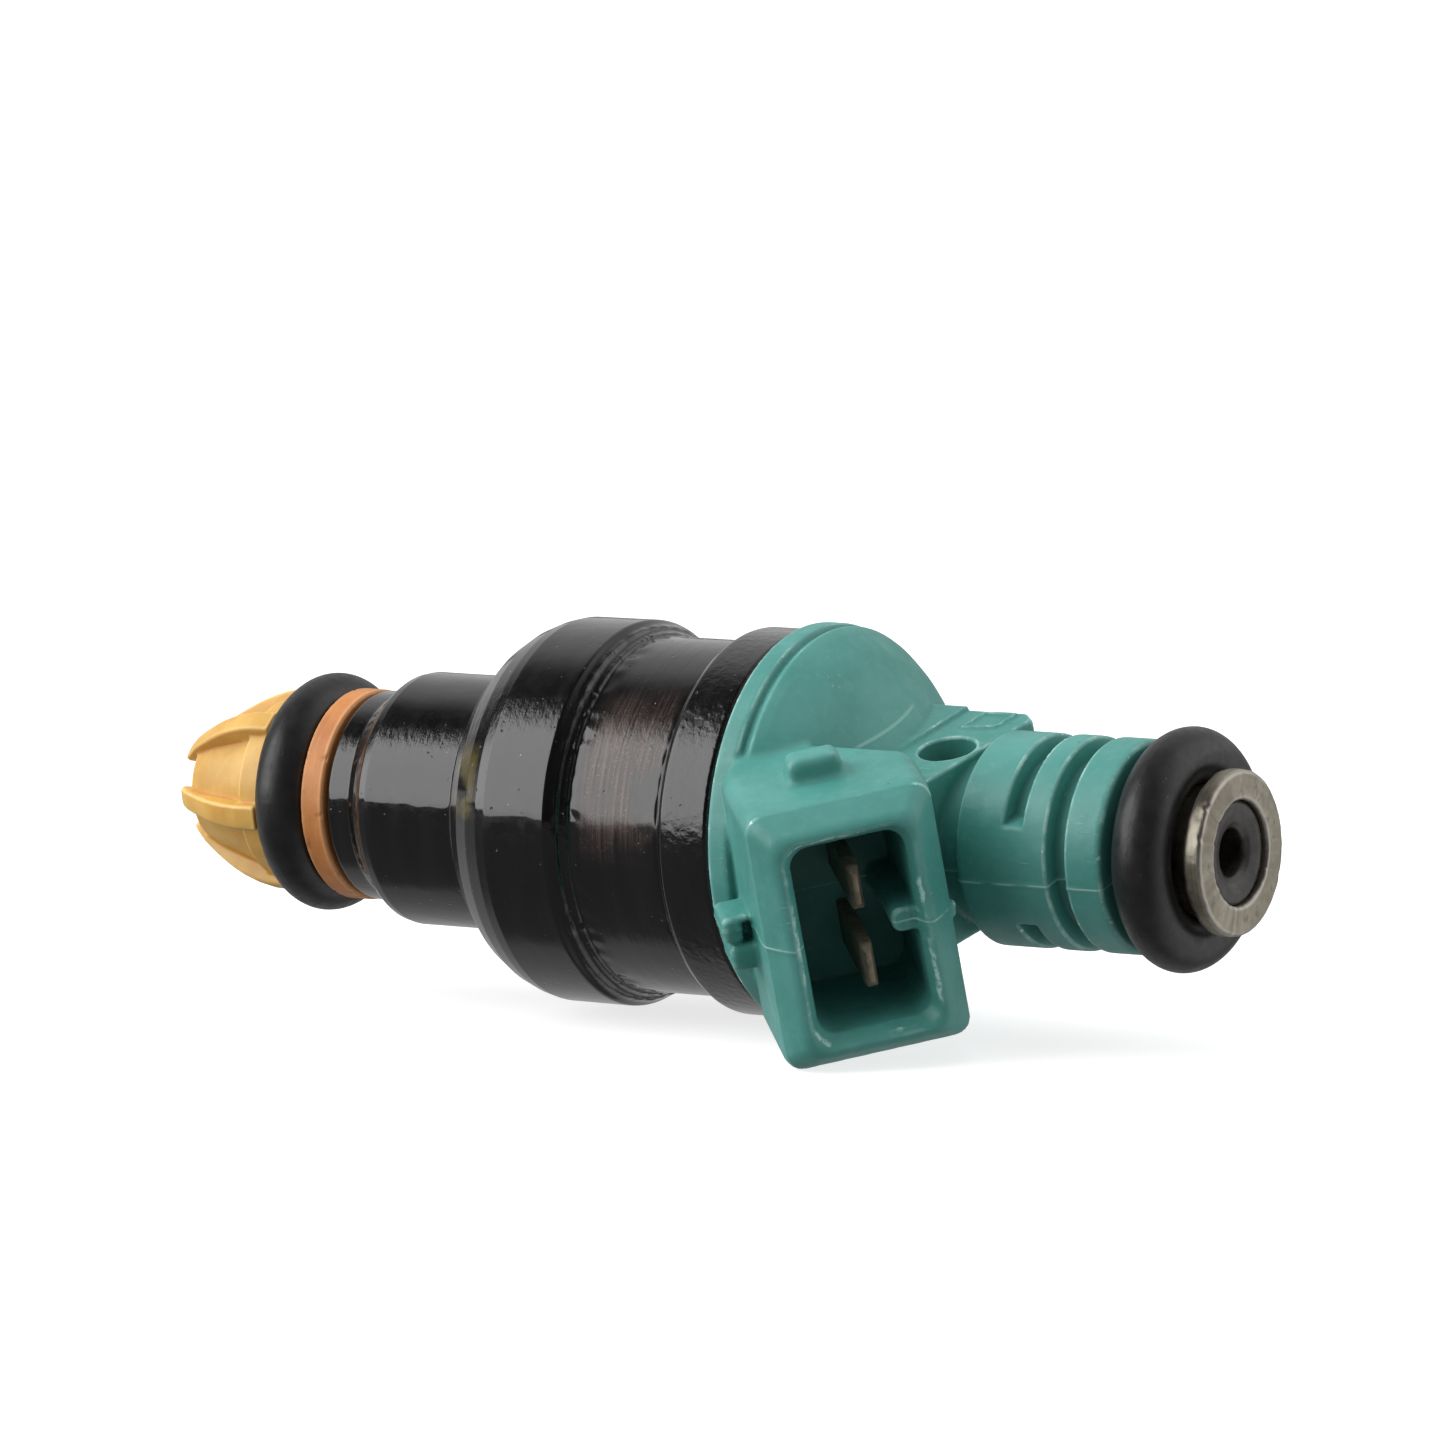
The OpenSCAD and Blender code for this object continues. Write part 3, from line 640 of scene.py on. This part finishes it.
def metal(name, dark, light, rough, rust=0.0, turned_lines=True, shine=1.0, worn=0.5):
    m = Mat(name, Metallic=shine)
    where = m.stretched(7.0, 0.35, 0.35) if turned_lines else m.stretched(1.2, 6.0, 1.2)
    lines = m.noise(1.0, 4, 0.65, where)
    patch = m.noise(0.4, 4, 0.6)
    share = m.math("ADD", m.product(lines, 0.45), m.product(patch, 0.55))
    colour = m.mix(m.between(share, 0.36, 0.64), dark, light)
    if rust:
        spots = m.product(m.between(m.noise(1.1, 5, 0.7), 0.54, 0.70), rust)
        colour = m.mix(spots, colour, (0.20, 0.10, 0.045))
        grey = m.product(m.between(m.noise(0.8, 4, 0.7), 0.56, 0.68), 0.6)
        colour = m.mix(grey, colour, (0.16, 0.15, 0.14))
    edge = m.mark("edge")
    colour = m.mix(m.product(m.between(edge, 0.3, 0.9), worn), colour, (0.62, 0.58, 0.54))
    roughness = m.blend(m.between(patch, 0.3, 0.7), rough[0], rough[1])
    normal = m.bump(lines, 0.006)
    normal = m.bump(m.noise(1.8, 4, 0.6), 0.02, under=normal)
    return m.finish(colour, roughness, normal)


def dark_plastic(name, dark, light, rough=(0.22, 0.40)):
    m = Mat(name, IOR=1.5)
    colour = m.mix(m.between(m.noise(0.8, 4, 0.6), 0.3, 0.7), dark, light)
    scratch = m.between(m.noise(1.0, 3, 0.6, m.stretched(1.5, 7.0, 1.2), 0.8), 0.68, 0.76)
    colour = m.mix(m.product(scratch, 0.5), colour, (0.22, 0.21, 0.20))
    edge = m.mark("edge")
    colour = m.mix(m.product(m.between(edge, 0.3, 0.9), 0.4), colour, (0.09, 0.08, 0.075))
    roughness = m.blend(m.between(m.noise(1.5, 4), 0.3, 0.7), rough[0], rough[1])
    return m.finish(colour, roughness, m.bump(m.noise(2.5, 4, 0.6), 0.03))


def woven_screen():
    m = Mat("woven_screen", IOR=1.5)
    x, y, z = m.axes()
    warp = m.math("SINE", m.product(x, 40.0))
    weft = m.math("SINE", m.product(m.math("ARCTAN2", y, z), 80.0))
    weave = m.math("MAXIMUM", warp, weft)
    colour = m.mix(m.between(weave, -0.2, 0.9), (0.16, 0.14, 0.10), (0.58, 0.53, 0.41))
    return m.finish(colour, 0.55, m.bump(weave, 0.03))


def wound_copper():
    m = Mat("wound_copper", Metallic=1.0)
    wire = m.math("SINE", m.product(m.axes()[0], 26.0))
    colour = m.mix(m.between(wire, -0.9, 0.6), (0.16, 0.05, 0.02), (0.72, 0.30, 0.13))
    colour = m.mix(m.product(m.between(m.noise(0.7, 3), 0.5, 0.8), 0.4), colour, (0.45, 0.14, 0.06))
    return m.finish(colour, 0.32, m.bump(wire, 0.06))


GREEN, BLACK, RUBBER = green_plastic(), black_lacquer(), seal_rubber()
ORANGE, YELLOW = orange_plastic(), yellow_plastic()
PLATED = metal("plated_steel", (0.26, 0.235, 0.185), (0.44, 0.41, 0.33), (0.34, 0.50), rust=0.35)
CONTACT = metal("contact_metal", (0.11, 0.087, 0.066), (0.33, 0.27, 0.205), (0.40, 0.58), rust=0.3,
                turned_lines=False, shine=0.55, worn=0.0)
INSERT = dark_plastic("filter_moulding", (0.014, 0.012, 0.011), (0.040, 0.035, 0.031))
GROUND = metal("ground_steel", (0.30, 0.30, 0.31), (0.52, 0.52, 0.53), (0.18, 0.30))
MAGNET = metal("magnet_steel", (0.20, 0.20, 0.21), (0.36, 0.36, 0.38), (0.28, 0.42))
SPRING = metal("spring_steel", (0.24, 0.24, 0.25), (0.48, 0.48, 0.50), (0.16, 0.28))
BRASS = metal("rolled_brass", (0.36, 0.26, 0.09), (0.66, 0.50, 0.22), (0.24, 0.36))
BOBBIN = dark_plastic("spool_moulding", (0.030, 0.060, 0.045), (0.060, 0.105, 0.080), (0.35, 0.5))
COPPER, SCREEN = wound_copper(), woven_screen()

KEPT = {
    "nozzle_body": GROUND, "nozzle_seal": RUBBER, "lift_shim": GROUND, "stop_plate": GROUND,
    "valve_needle": GROUND, "armature": MAGNET, "return_spring": SPRING, "adjusting_sleeve": BRASS,
    "coil_bobbin": BOBBIN, "coil_winding": COPPER, "coil_seal_lower": RUBBER, "coil_seal_upper": RUBBER,
    "flux_washer": MAGNET, "filter_screen": SCREEN,
}
for node_name, material in KEPT.items():
    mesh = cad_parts[node_name].data
    mesh.materials.clear()
    mesh.materials.append(material)


# ---------------------------------------------------------------- steel housing

swell = waves(11, 34, (3, 26), (3.0, 14.0))
ripple = waves(12, 60, (10, 80), (1.2, 5.0))
rings = waves(13, 16, (0, 0), (0.35, 1.4))
bead = waves(14, 50, (20, 150), (0.5, 2.5))
drip = waves(15, 40, (8, 60), (4.0, 20.0))


def lacquer(theta, s, r, facing):
    """How far the lacquer stands out from the turned steel, on its outside only."""
    outside = ease(facing, -0.2, 0.3) * ease(r, 5.6, 6.2)
    coat = 0.0018 * swell(theta, s) + 0.0006 * ripple(theta, s)
    coat += 0.0010 * rings(theta, s) * ease(s, 24.0, 25.0) * (1 - ease(s, 29.8, 30.4))
    uneven = drip(theta, np.zeros_like(s))
    # two ridges behind the collar and the groove before the crimped rim
    coat += bell(s, 23.95, 0.13) * (0.09 + 0.035 * bead(theta, s) * ease(uneven, 0.2, 1.6))
    coat += bell(s, 23.43, 0.13) * (0.085 + 0.02 * uneven)
    coat += bell(s, 24.5, 0.5) * 0.02 * (1 + drip(theta, s))
    coat += bell(s + 0.04 * uneven, 30.35, 0.10) * -0.07
    # thicker rings where it ran into the steps of the nose
    coat += bell(s, 6.0, 0.5) * 0.012 * (1 + drip(theta, s))
    coat += bell(s, 14.2, 0.5) * 0.010 * (1 + drip(theta, s))
    coat += ease(s, 31.2, 31.6) * 0.0022 * bead(theta, s)
    return outside * np.clip(coat, -0.09, 0.25)


HOUSING = [
    (3.95, 3.4), (5.9, 3.4), (6.4, 3.85), (6.4, 5.3), (6.7, 5.9), (7.3, 6.45), (7.6, 6.85), (7.73, 7.4),
    (7.73, 13.6), (7.98, 13.85), (9.3, 14.7), (10.4, 15.8), (11.1, 16.9), (11.5, 17.9), (11.67, 18.6),
    (11.7, 22.85), (11.4, 23.25), (11.1, 23.6), (10.75, 24.1), (10.75, 30.3), (10.85, 30.35), (11.5, 30.9),
    (11.67, 31.2), (11.67, 34.2), (11.27, 34.7), (9.0, 34.7), (9.0, 32.4), (10.3, 32.4), (10.3, 30.2),
    (9.3, 30.2), (9.3, 17.4), (3.72, 17.4), (3.72, 13.55), (5.5, 13.55), (5.5, 4.4), (3.95, 4.4),
]
turned("housing_lacquered", HOUSING, BLACK, ["housing"], corner=0.28, step=0.09, around=640,
       push=lacquer)

# ---------------------------------------------------------------- seals, spacer and inlet

sag = waves(21, 12, (2, 9), (8.0, 20.0))
nib = waves(22, 30, (30, 90), (2.0, 9.0))


def seal(name, s0, node_name):
    """An O-ring with a faint mould seam on its outside."""
    ring = [(SEAL_R + SEAL_H * math.cos(a), s0 + SEAL_H * math.sin(a))
            for a in np.linspace(0, 2 * np.pi, 72, endpoint=False)]

    def flash(theta, s, r, facing):
        seam = bell(s, s0, 0.07) * (facing > 0) * 0.005 * (1 + 0.5 * nib(theta, np.zeros_like(s)))
        return seam + 0.005 * sag(theta + s0, s)
    turned(name, ring, RUBBER, [node_name], corner=0.01, step=0.09, around=420, push=flash,
           window=0.12)


seal("manifold_ring", 0.0, "manifold_seal")
seal("rail_ring", SEAL_PITCH, "rail_seal")

chips = waves(23, 40, (5, 70), (2.0, 9.0), 0.3)


def chipped(theta, s, r, facing):
    """Small chips in the spacer's rims."""
    dent = np.clip(chips(theta, np.ones_like(s)) - 1.5, 0, 1) * (facing > 0.3)
    return -0.10 * dent * bell(s, 3.37, 0.35) - 0.06 * dent * bell(s, 1.8, 0.3) + 0.004 * sag(theta, s)


turned("spacer_moulding", [(3.86, 1.78), (6.3, 1.77), (6.45, 1.92), (6.45, 3.27), (6.3, 3.37), (3.86, 3.37)],
       ORANGE, ["spacer_ring"], corner=0.10, step=0.06, around=420, push=chipped)

dents = waves(24, 40, (3, 40), (1.0, 6.0), 0.4)


def battered(theta, s, r, facing):
    """Dents and nicks in the flange at the inlet."""
    rim = ease(s, 62.9, 63.1)
    return rim * (0.008 * dents(theta, s) - 0.05 * np.clip(dents(theta + 1.3, s) - 1.7, 0, 1))


TUBE = [
    (1.95, 19.65), (3.6, 19.65), (3.9, 19.95), (3.9, 63.04), (4.94, 63.04), (4.94, 64.24), (3.26, 64.24),
    (3.14, 64.1), (3.14, 49.2), (1.95, 48.0),
]
turned("inlet_tube_turned", TUBE, PLATED, ["inlet_tube"], corner=0.30, step=0.12, around=300,
       push=battered)

# ---------------------------------------------------------------- moulded body

DOME = [
    (0, 32.4), (9.0, 32.4), (9.0, 34.74), (12.05, 34.74), (12.15, 34.9), (12.15, 36.05), (12.0, 36.2),
    (11.72, 36.22), (11.72, 36.38), (12.0, 36.75), (12.01, 36.9), (11.7, 37.5), (11.24, 38.1), (10.75, 38.7),
    (10.15, 39.3), (9.42, 39.9), (8.6, 40.5), (7.72, 41.1), (6.83, 41.7), (5.93, 42.3), (5.2, 42.8),
    (0, 42.8),
]
NECK = [
    (0, 40), (5.0, 40), (5.0, 48.4), (6.2, 48.4), (6.4, 48.6), (6.4, 54.55), (5.1, 54.55), (5.1, 55.85),
    (6.4, 55.85), (6.4, 58.1), (6.2, 58.3), (0, 58.3),
]
WEB = [(-5.5, 38.0), (-5.5, 47.5), (-4.7, 48.3), (0.0, 47.4), (5.1, 46.4), (7.6, 45.9), (7.6, 38.0)]
PAD = [(-5.5, 39.0), (-5.5, 43.42), (1.0, 42.45), (1.0, 39.0)]
FRAME, FRAME_HALF = [(-5.02, 44.85), (-5.08, 46.95), (-3.2, 46.65), (-2.75, 44.5)], 0.09
DISC_BACK_S = 36.2                    # the plug stands on the disc from here
LATCH_X = 9.6
NUBS, NUB_HALF = ((-0.1, 7.5), (-1.9, 7.3)), 0.83
WEB_HOLE, WEB_HOLE_R = (45.2, 0.2), 1.75
FLASH_H, FLASH_W = 0.055, 0.10
MOULD_STEP, MOULD_KEEP = 0.16, 0.46   # grid of the dense mesh, and the share of its faces kept

dome_at = Turned(DOME, 14.5, 30.0, 46.0, soften=0.09)
neck_at = Turned(NECK, 9.0, 38.0, 60.5, soften=0.09)


def in_plug(w, t, s):
    """Local point to the plug frame: x along the long side, y toward the dome, z out of the socket."""
    dt, ds = t - PLUG_T, s - PLUG_S
    y = math.cos(PLUG_TURN) * dt - math.sin(PLUG_TURN) * ds
    z = math.sin(PLUG_TURN) * dt + math.cos(PLUG_TURN) * ds
    return w, y, z


def plug_shell(x, y, z):
    """Outside of the plug with its sloped rim."""
    slope = np.interp(z, [-1.8, -0.45, 0.0], [0, 1, 1.35])
    soft = 0.06 * bell(z, -1.8, 0.4)
    side = rounded_box2(x, y, 8.15 - 0.90 * slope - soft, 5.65 - 1.03 * slope - soft, 1.05)
    return both(side, z, 0.45)


def socket(x, y, z):
    """Inside of the plug, open toward the mating plug, with its keying rib."""
    lead = np.interp(z, [-0.9, 0.05], [0, 1])
    hole = rounded_box2(x, y, 5.95 + 0.6 * lead, 3.45 + 0.5 * lead, 1.2)
    hole = both(hole, -9.4 - z, 0.3)
    rib = rounded_box2(x, y + 3.05, 0.75, 1.1, 0.6)
    rib = both(rib, z + 1.2, 0.3)
    return less(hole, rib, 0.3)


def bar(x, y, z, x0, x1, y0, y1, z0, z1, k):
    """A block between the given limits, with its edges rounded by about k."""
    return both(both(slab(x, x0, x1), slab(y, y0, y1), k), slab(z, z0, z1), k)


def dome_and_web(w, t, s, r):
    """The domed disc, the web behind it and the web's raised pad."""
    web = both(plate(t, s, WEB), slab(w, -5.1, 5.65), 0.25)
    pad = both(plate(t, s, PAD), slab(w, 0, 5.9), 0.15)
    return join(join(dome_at(r, s), web, 0.35), pad, 0.15)


def neck(w, s, r):
    """The neck, with a clip groove cut into it from above and below."""
    groove = both(slab(s, 51.6, 52.9), 5.1 - r, 0.15)
    above, below = both(groove, 3.3 - w, 0.15), both(groove, w + 2.9, 0.15)
    return less(less(neck_at(r, s), above, 0.15), below, 0.15)


def with_plug(shape, w, t, s, x, y, z):
    """The plug joined to the shape, with its latch, nubs, flash tab and recess."""
    root = both(4.4 - t, np.minimum(np.abs(w) - 6.6, 6.05 - t), 0.3)
    plug = both(both(plug_shell(x, y, z), root, 0.4), DISC_BACK_S - s, 0.3)
    shape = join(shape, plug, 0.35)
    flare = 0.12 * (LATCH_X - x)
    latch = bar(x, y, z, 7.0, LATCH_X, -1.15 - flare, 1.95 + flare, -7.4, -5.3, 0.6)
    shape = join(shape, latch, 0.55)
    for middle, height in NUBS:
        nub = bar(x, y, z, middle - NUB_HALF, middle + NUB_HALF, 4.5, height, -8.8, -5.4, 0.5)
        shape = join(shape, nub, 0.3)
    tab = bar(x, y, z, -0.75, 0.1, -5.88, -5.0, -2.5, -1.8, 0.2)
    recess = bar(x, y, z, -0.85, 0.35, 5.75, 6.35, -6.6, -4.0, 0.35)
    return less(join(shape, tab, 0.2), recess, 0.3)


def moulding(w, t, s):
    """The green body: dome, web, neck and plug, with their raised marks, holes and flash."""
    r = np.hypot(w, t)
    shape = join(dome_and_web(w, t, s, r), neck(w, s, r), 0.4)
    x, y, z = in_plug(w, t, s)
    shape = with_plug(shape, w, t, s, x, y, z)
    # raised label frame and a dash on the web
    wall = np.abs(plate(t, s, FRAME)) - FRAME_HALF
    shape = join(shape, both(wall, slab(w, 5.0, 5.80), 0.08), 0.08)
    dash = both(slab(t, 3.25, 3.45), slab(s, 45.0, 45.95), 0.08)
    shape = join(shape, both(dash, slab(w, 5.0, 5.78), 0.08), 0.08)
    inside = socket(x, y, z)
    shape = less(shape, inside, 0.28)
    shape = less(shape, r - BORE_R, 0.1)
    hole = np.hypot(s - WEB_HOLE[0], t - WEB_HOLE[1]) - WEB_HOLE_R
    shape = less(shape, both(hole, 3.3 - w, 0.1), 0.15)
    # flash left on the parting plane, outside the bore and the socket
    flash = FLASH_H * np.exp(-(w / FLASH_W) ** 2)
    return shape - flash * (r > 4.4) * (z < 0.2) * (inside > 0.25)


points, quads, marks = surface(moulding, (-12.45, -12.45, 32.1), (12.45, 21.6, 58.6), MOULD_STEP)
thin_out(mesh_piece("moulded_body", points, quads, GREEN, ["overmould"], marks), MOULD_KEEP)

# ---------------------------------------------------------------- cap

SLEEVE = [
    (0, -1.85), (5.75, -1.85), (5.55, -3.35), (5.1, -3.5), (4.65, -5.0), (4.1, -6.8), (3.45, -8.3), (0, -8.3),
]
RIB = [
    (0, -1.85), (6.25, -1.85), (6.2, -3.3), (6.0, -4.3), (5.7, -5.2), (5.3, -6.1), (4.8, -7.0), (4.3, -7.8),
    (3.75, -8.6), (3.2, -9.2), (2.85, -9.5), (2.6, -9.3), (2.6, -8.0), (0, -8.0),
]
sleeve_at = Turned(SLEEVE, 8.0, -11.0, 0.5, soften=0.05, step=0.03)
rib_at = Turned(RIB, 8.0, -11.0, 0.5, soften=0.05, step=0.03)
RIB_ANGLES = [math.radians(23.5 + 60 * i) for i in range(6)]
FINE_STEP = 0.085                     # grid of the cap's and the filter's meshes


def cap(w, t, s):
    """Yellow cap: a cone sleeve with six ribs, a bore and a small pocket under each rib."""
    r = np.hypot(w, t)
    fins, pockets = np.inf, np.inf
    for a in RIB_ANGLES:
        out = w * math.cos(a) + t * math.sin(a)
        side = -w * math.sin(a) + t * math.cos(a)
        fins = np.minimum(fins, both(np.abs(side) - 0.62 - 0.02 * (s + 9), -out, 0.1))
        pocket = both(both(np.abs(side) - 0.35, slab(out, 3, 5.4), 0.12), slab(s, -4.0, -3.0), 0.12)
        pockets = np.minimum(pockets, pocket)
    shape = join(sleeve_at(r, s), both(rib_at(r, s), fins, 0.22), 0.22)
    shape = less(shape, pockets, 0.12)
    shape = less(shape, both(r - 3.3, -7.0 - s, 0.1), 0.1)
    return less(shape, r - 2.5, 0.12)


points, quads, marks = surface(cap, (-6.6, -6.6, -9.8), (6.6, 6.6, -1.55), FINE_STEP)
mesh_piece("cap_moulding", points, quads, YELLOW, ["pintle_cap"], marks)

# ---------------------------------------------------------------- filter and contacts

COLLAR = [
    (1.4, 59.6), (3.12, 59.6), (3.12, 63.78), (2.9, 63.93), (2.45, 63.93), (1.85, 63.78), (1.45, 63.5),
    (1.4, 63.3),
]
collar_at = Turned(COLLAR, 5.0, 48.0, 65.0, soften=0.05, step=0.03)


def filter_shape(w, t, s):
    """Filter insert: collar at the inlet, four legs and a closed foot."""
    r = np.hypot(w, t)
    shape = collar_at(r, s)
    for u, v in ((w, t), (-w, t), (t, w), (-t, w)):
        shape = join(shape, bar(u, v, s, 1.55, 2.7, -0.35, 0.35, 50.4, 59.9, 0.1), 0.15)
    foot = both(r - 2.72, slab(s, 49.6, 50.6), 0.15)
    return join(shape, foot, 0.15)


points, quads, marks = surface(filter_shape, (-3.4, -3.4, 49.3), (3.4, 3.4, 64.3), FINE_STEP)
mesh_piece("filter_insert", points, quads, INSERT, ["filter_frame"], marks)

BLADE_HALF, BLADE_THICK, BLADE_SHIFT, BLADE_TIP = 1.4, 0.4, 0.25, 1.3
BLADES = (("contact_upper", 2.5, "terminal_upper"), ("contact_lower", -2.5, "terminal_lower"))
BLADE_STEP = 0.09


def blade(middle):
    """One contact: leg beside the tube, knee, and a chamfered, tapered blade in the socket."""
    def shape(w, t, s):
        x, y, z = in_plug(w, t, s)
        side, flat = np.abs(x - middle) - BLADE_HALF, np.abs(y + BLADE_SHIFT) - BLADE_THICK
        end = z + BLADE_TIP
        tip = np.maximum(end, (side + end + 0.45) * 0.7071)
        tip = np.maximum(tip, (flat + 0.4 * end + 0.26) * 0.93)
        made = both(both(side, flat, 0.12), tip, 0.12)
        made = both(made, -11.4 - z, 0.1)
        leg = bar(w - middle, t, s, -0.6, 0.6, 5.8, 6.6, 29.3, 39.4, 0.1)
        knee = bar(w - middle, t, s, -1.4, 1.4, 5.8, 7.7, 38.3, 39.9, 0.1)
        return join(made, join(leg, knee, 0.1), 0.1)
    return shape


for name, middle, node_name in BLADES:
    lo, hi = (middle - 1.7, 5.4, 29.0), (middle + 1.7, 15.0, 48.0)
    points, quads, marks = surface(blade(middle), lo, hi, BLADE_STEP)
    mesh_piece(name, points, quads, CONTACT, [node_name], marks)

# ---------------------------------------------------------------- floor, light and camera

FLOOR_HALF = 3                        # m
PAPER, PAPER_GLOW = (0.46, 0.46, 0.465), 0.74
floor_mesh = bpy.data.meshes.new("studio_floor")
places = [(FLOOR_HALF * x, FLOOR_HALF * y, FLOOR_Z) for x, y in ((-1, -1), (1, -1), (1, 1), (-1, 1))]
floor_mesh.from_pydata(places, [], [(0, 1, 2, 3)])
floor = bpy.data.objects.new("studio_floor", floor_mesh)
bpy.context.scene.collection.objects.link(floor)
paper = Mat("studio_paper", IOR=1.4)
paper.out.inputs["Emission Color"].default_value = (1, 1, 1, 1)
paper.out.inputs["Emission Strength"].default_value = PAPER_GLOW
paper.out.inputs["Specular IOR Level"].default_value = 0.0
floor_mesh.materials.append(paper.finish(PAPER, 0.9))
floor.visible_glossy = False
floor.visible_diffuse = False

world = bpy.data.worlds.new("studio")
bpy.context.scene.world = world
world.use_nodes = True
world.node_tree.nodes.clear()
sky = Nodes(world.node_tree)

direction = sky.node("TexCoord").outputs["Generated"]
split = sky.node("SeparateXYZ")
sky.feed(split.inputs[0], direction)
side, depth, up = split.outputs
turn = sky.math("ARCTAN2", side, sky.product(depth, -1.0))
ragged = sky.node("TexNoise")
for key, value in (("Vector", direction), ("Scale", 16.0), ("Detail", 4.0)):
    sky.feed(ragged.inputs[key], value)

behind = sky.ramp(depth, 0.0, 0.45)
far_left = sky.ramp(turn, -1.50, -1.15, 1.0, 0.0)
# reflections: one soft box at the front left with a sharp lower side and an uneven upper side
BOX, RIGHT = 2.9, 0.62
top = sky.math("ADD", 0.735, sky.product(sky.math("SUBTRACT", ragged.outputs["Fac"], 0.5), 0.16))
box = sky.product(sky.ramp(up, 0.030, 0.040), sky.ramp(sky.math("SUBTRACT", up, top), 0.0, 0.03, 1.0, 0.0),
                  sky.ramp(turn, -1.45, -1.15), sky.ramp(turn, -0.42, -0.22, 1.0, 0.0))
below = sky.product(sky.ramp(up, 0.0, 0.018, 1.0, 0.0), sky.math("ADD", 0.16, sky.product(far_left, 0.22)))
above = sky.product(sky.ramp(up, 0.0, 0.1), sky.math("ADD", 0.035, sky.product(behind, 0.52)))
right = sky.product(sky.ramp(side, 0.15, 0.5), sky.ramp(depth, -0.5, 0.4), RIGHT)
gloss = sky.math("ADD", sky.math("ADD", sky.product(box, BOX), right), sky.math("ADD", below, above))
# soft light: the same box, wider, a little from above and all round, least from the front right
WIDE, OVERHEAD, FROM_RIGHT = 3.4, 0.8, 0.9
beside = sky.node("VectorMath", operation="DOT_PRODUCT")
sky.feed(beside.inputs[0], direction)
beside.inputs[1].default_value = (0.70, -0.70, 0.0)
dim = sky.ramp(beside.outputs["Value"], 0.30, 0.85, 1.0, 0.50)
wide = sky.product(sky.ramp(up, -0.05, 0.12), sky.ramp(up, 0.60, 0.95, 1.0, 0.25), sky.ramp(turn, -2.1, -1.5),
                   sky.ramp(turn, -0.7, 0.0, 1.0, 0.0))
ambient = sky.product(sky.ramp(up, -0.25, 0.35, 0.38, 0.62), dim)
from_right = sky.product(sky.ramp(side, 0.45, 0.9), sky.ramp(depth, -0.6, 0.1), FROM_RIGHT)
zenith = sky.ramp(up, 0.75, 1.0, 0.0, OVERHEAD)
soft = sky.math("ADD", sky.product(wide, WIDE), sky.math("ADD", ambient, zenith))
soft = sky.math("ADD", soft, from_right)


def pick(share, a, b):
    """a where share is 0, b where it is 1."""
    return sky.math("ADD", sky.product(share, b), sky.product(sky.math("SUBTRACT", 1.0, share), a))


# what reflects, what lights, and plain white for the camera
path = sky.node("LightPath")
level = pick(path.outputs["Is Glossy Ray"], soft, gloss)
level = pick(path.outputs["Is Camera Ray"], level, 1.0)
background = sky.node("Background")
sky.feed(background.inputs["Strength"], level)
sky.feed(background.inputs["Color"], (1.0, 1.0, 1.0))
sky.feed(sky.node("OutputWorld").inputs[0], background.outputs[0])

# lamp over the object, which lights but isn't reflected
LAMP_PLACE, LAMP_AIM = Vector((-0.10, -0.05, 0.55)), Vector((0.03, 0, 0))
lamp_data = bpy.data.lights.new("overhead", "AREA")
lamp_data.shape = "RECTANGLE"
lamp_data.size, lamp_data.size_y = 0.7, 0.5
lamp_data.energy = 0.8
lamp = bpy.data.objects.new("overhead", lamp_data)
lamp.location = LAMP_PLACE
lamp.rotation_mode = "QUATERNION"
lamp.rotation_quaternion = (LAMP_AIM - LAMP_PLACE).to_track_quat("-Z", "Y")
lamp.visible_glossy = False
bpy.context.scene.collection.objects.link(lamp)

# camera as fitted to the photo
AZIMUTH, ELEVATION, TILT = math.radians(32.517), math.radians(8.4905), math.radians(-1.7328)
DISTANCE, TARGET = 0.771064, Vector((0.019909, 0.013304, 0.003460))
FOCAL, SENSOR = 312.8, 36
camera_data = bpy.data.cameras.new("camera")
camera_data.lens, camera_data.sensor_width = FOCAL, SENSOR
camera_data.clip_start, camera_data.clip_end = 0.05, 20
camera = bpy.data.objects.new("camera", camera_data)
bpy.context.scene.collection.objects.link(camera)
back = Vector((math.sin(AZIMUTH) * math.cos(ELEVATION), -math.cos(AZIMUTH) * math.cos(ELEVATION),
               math.sin(ELEVATION)))
camera.location = TARGET + back * DISTANCE
camera.rotation_mode = "QUATERNION"
camera.rotation_quaternion = back.to_track_quat("Z", "Y") @ Matrix.Rotation(TILT, 3, "Z").to_quaternion()
scene = bpy.context.scene
scene.camera = camera
scene.view_settings.view_transform = "Standard"

bpy.context.view_layer.update()
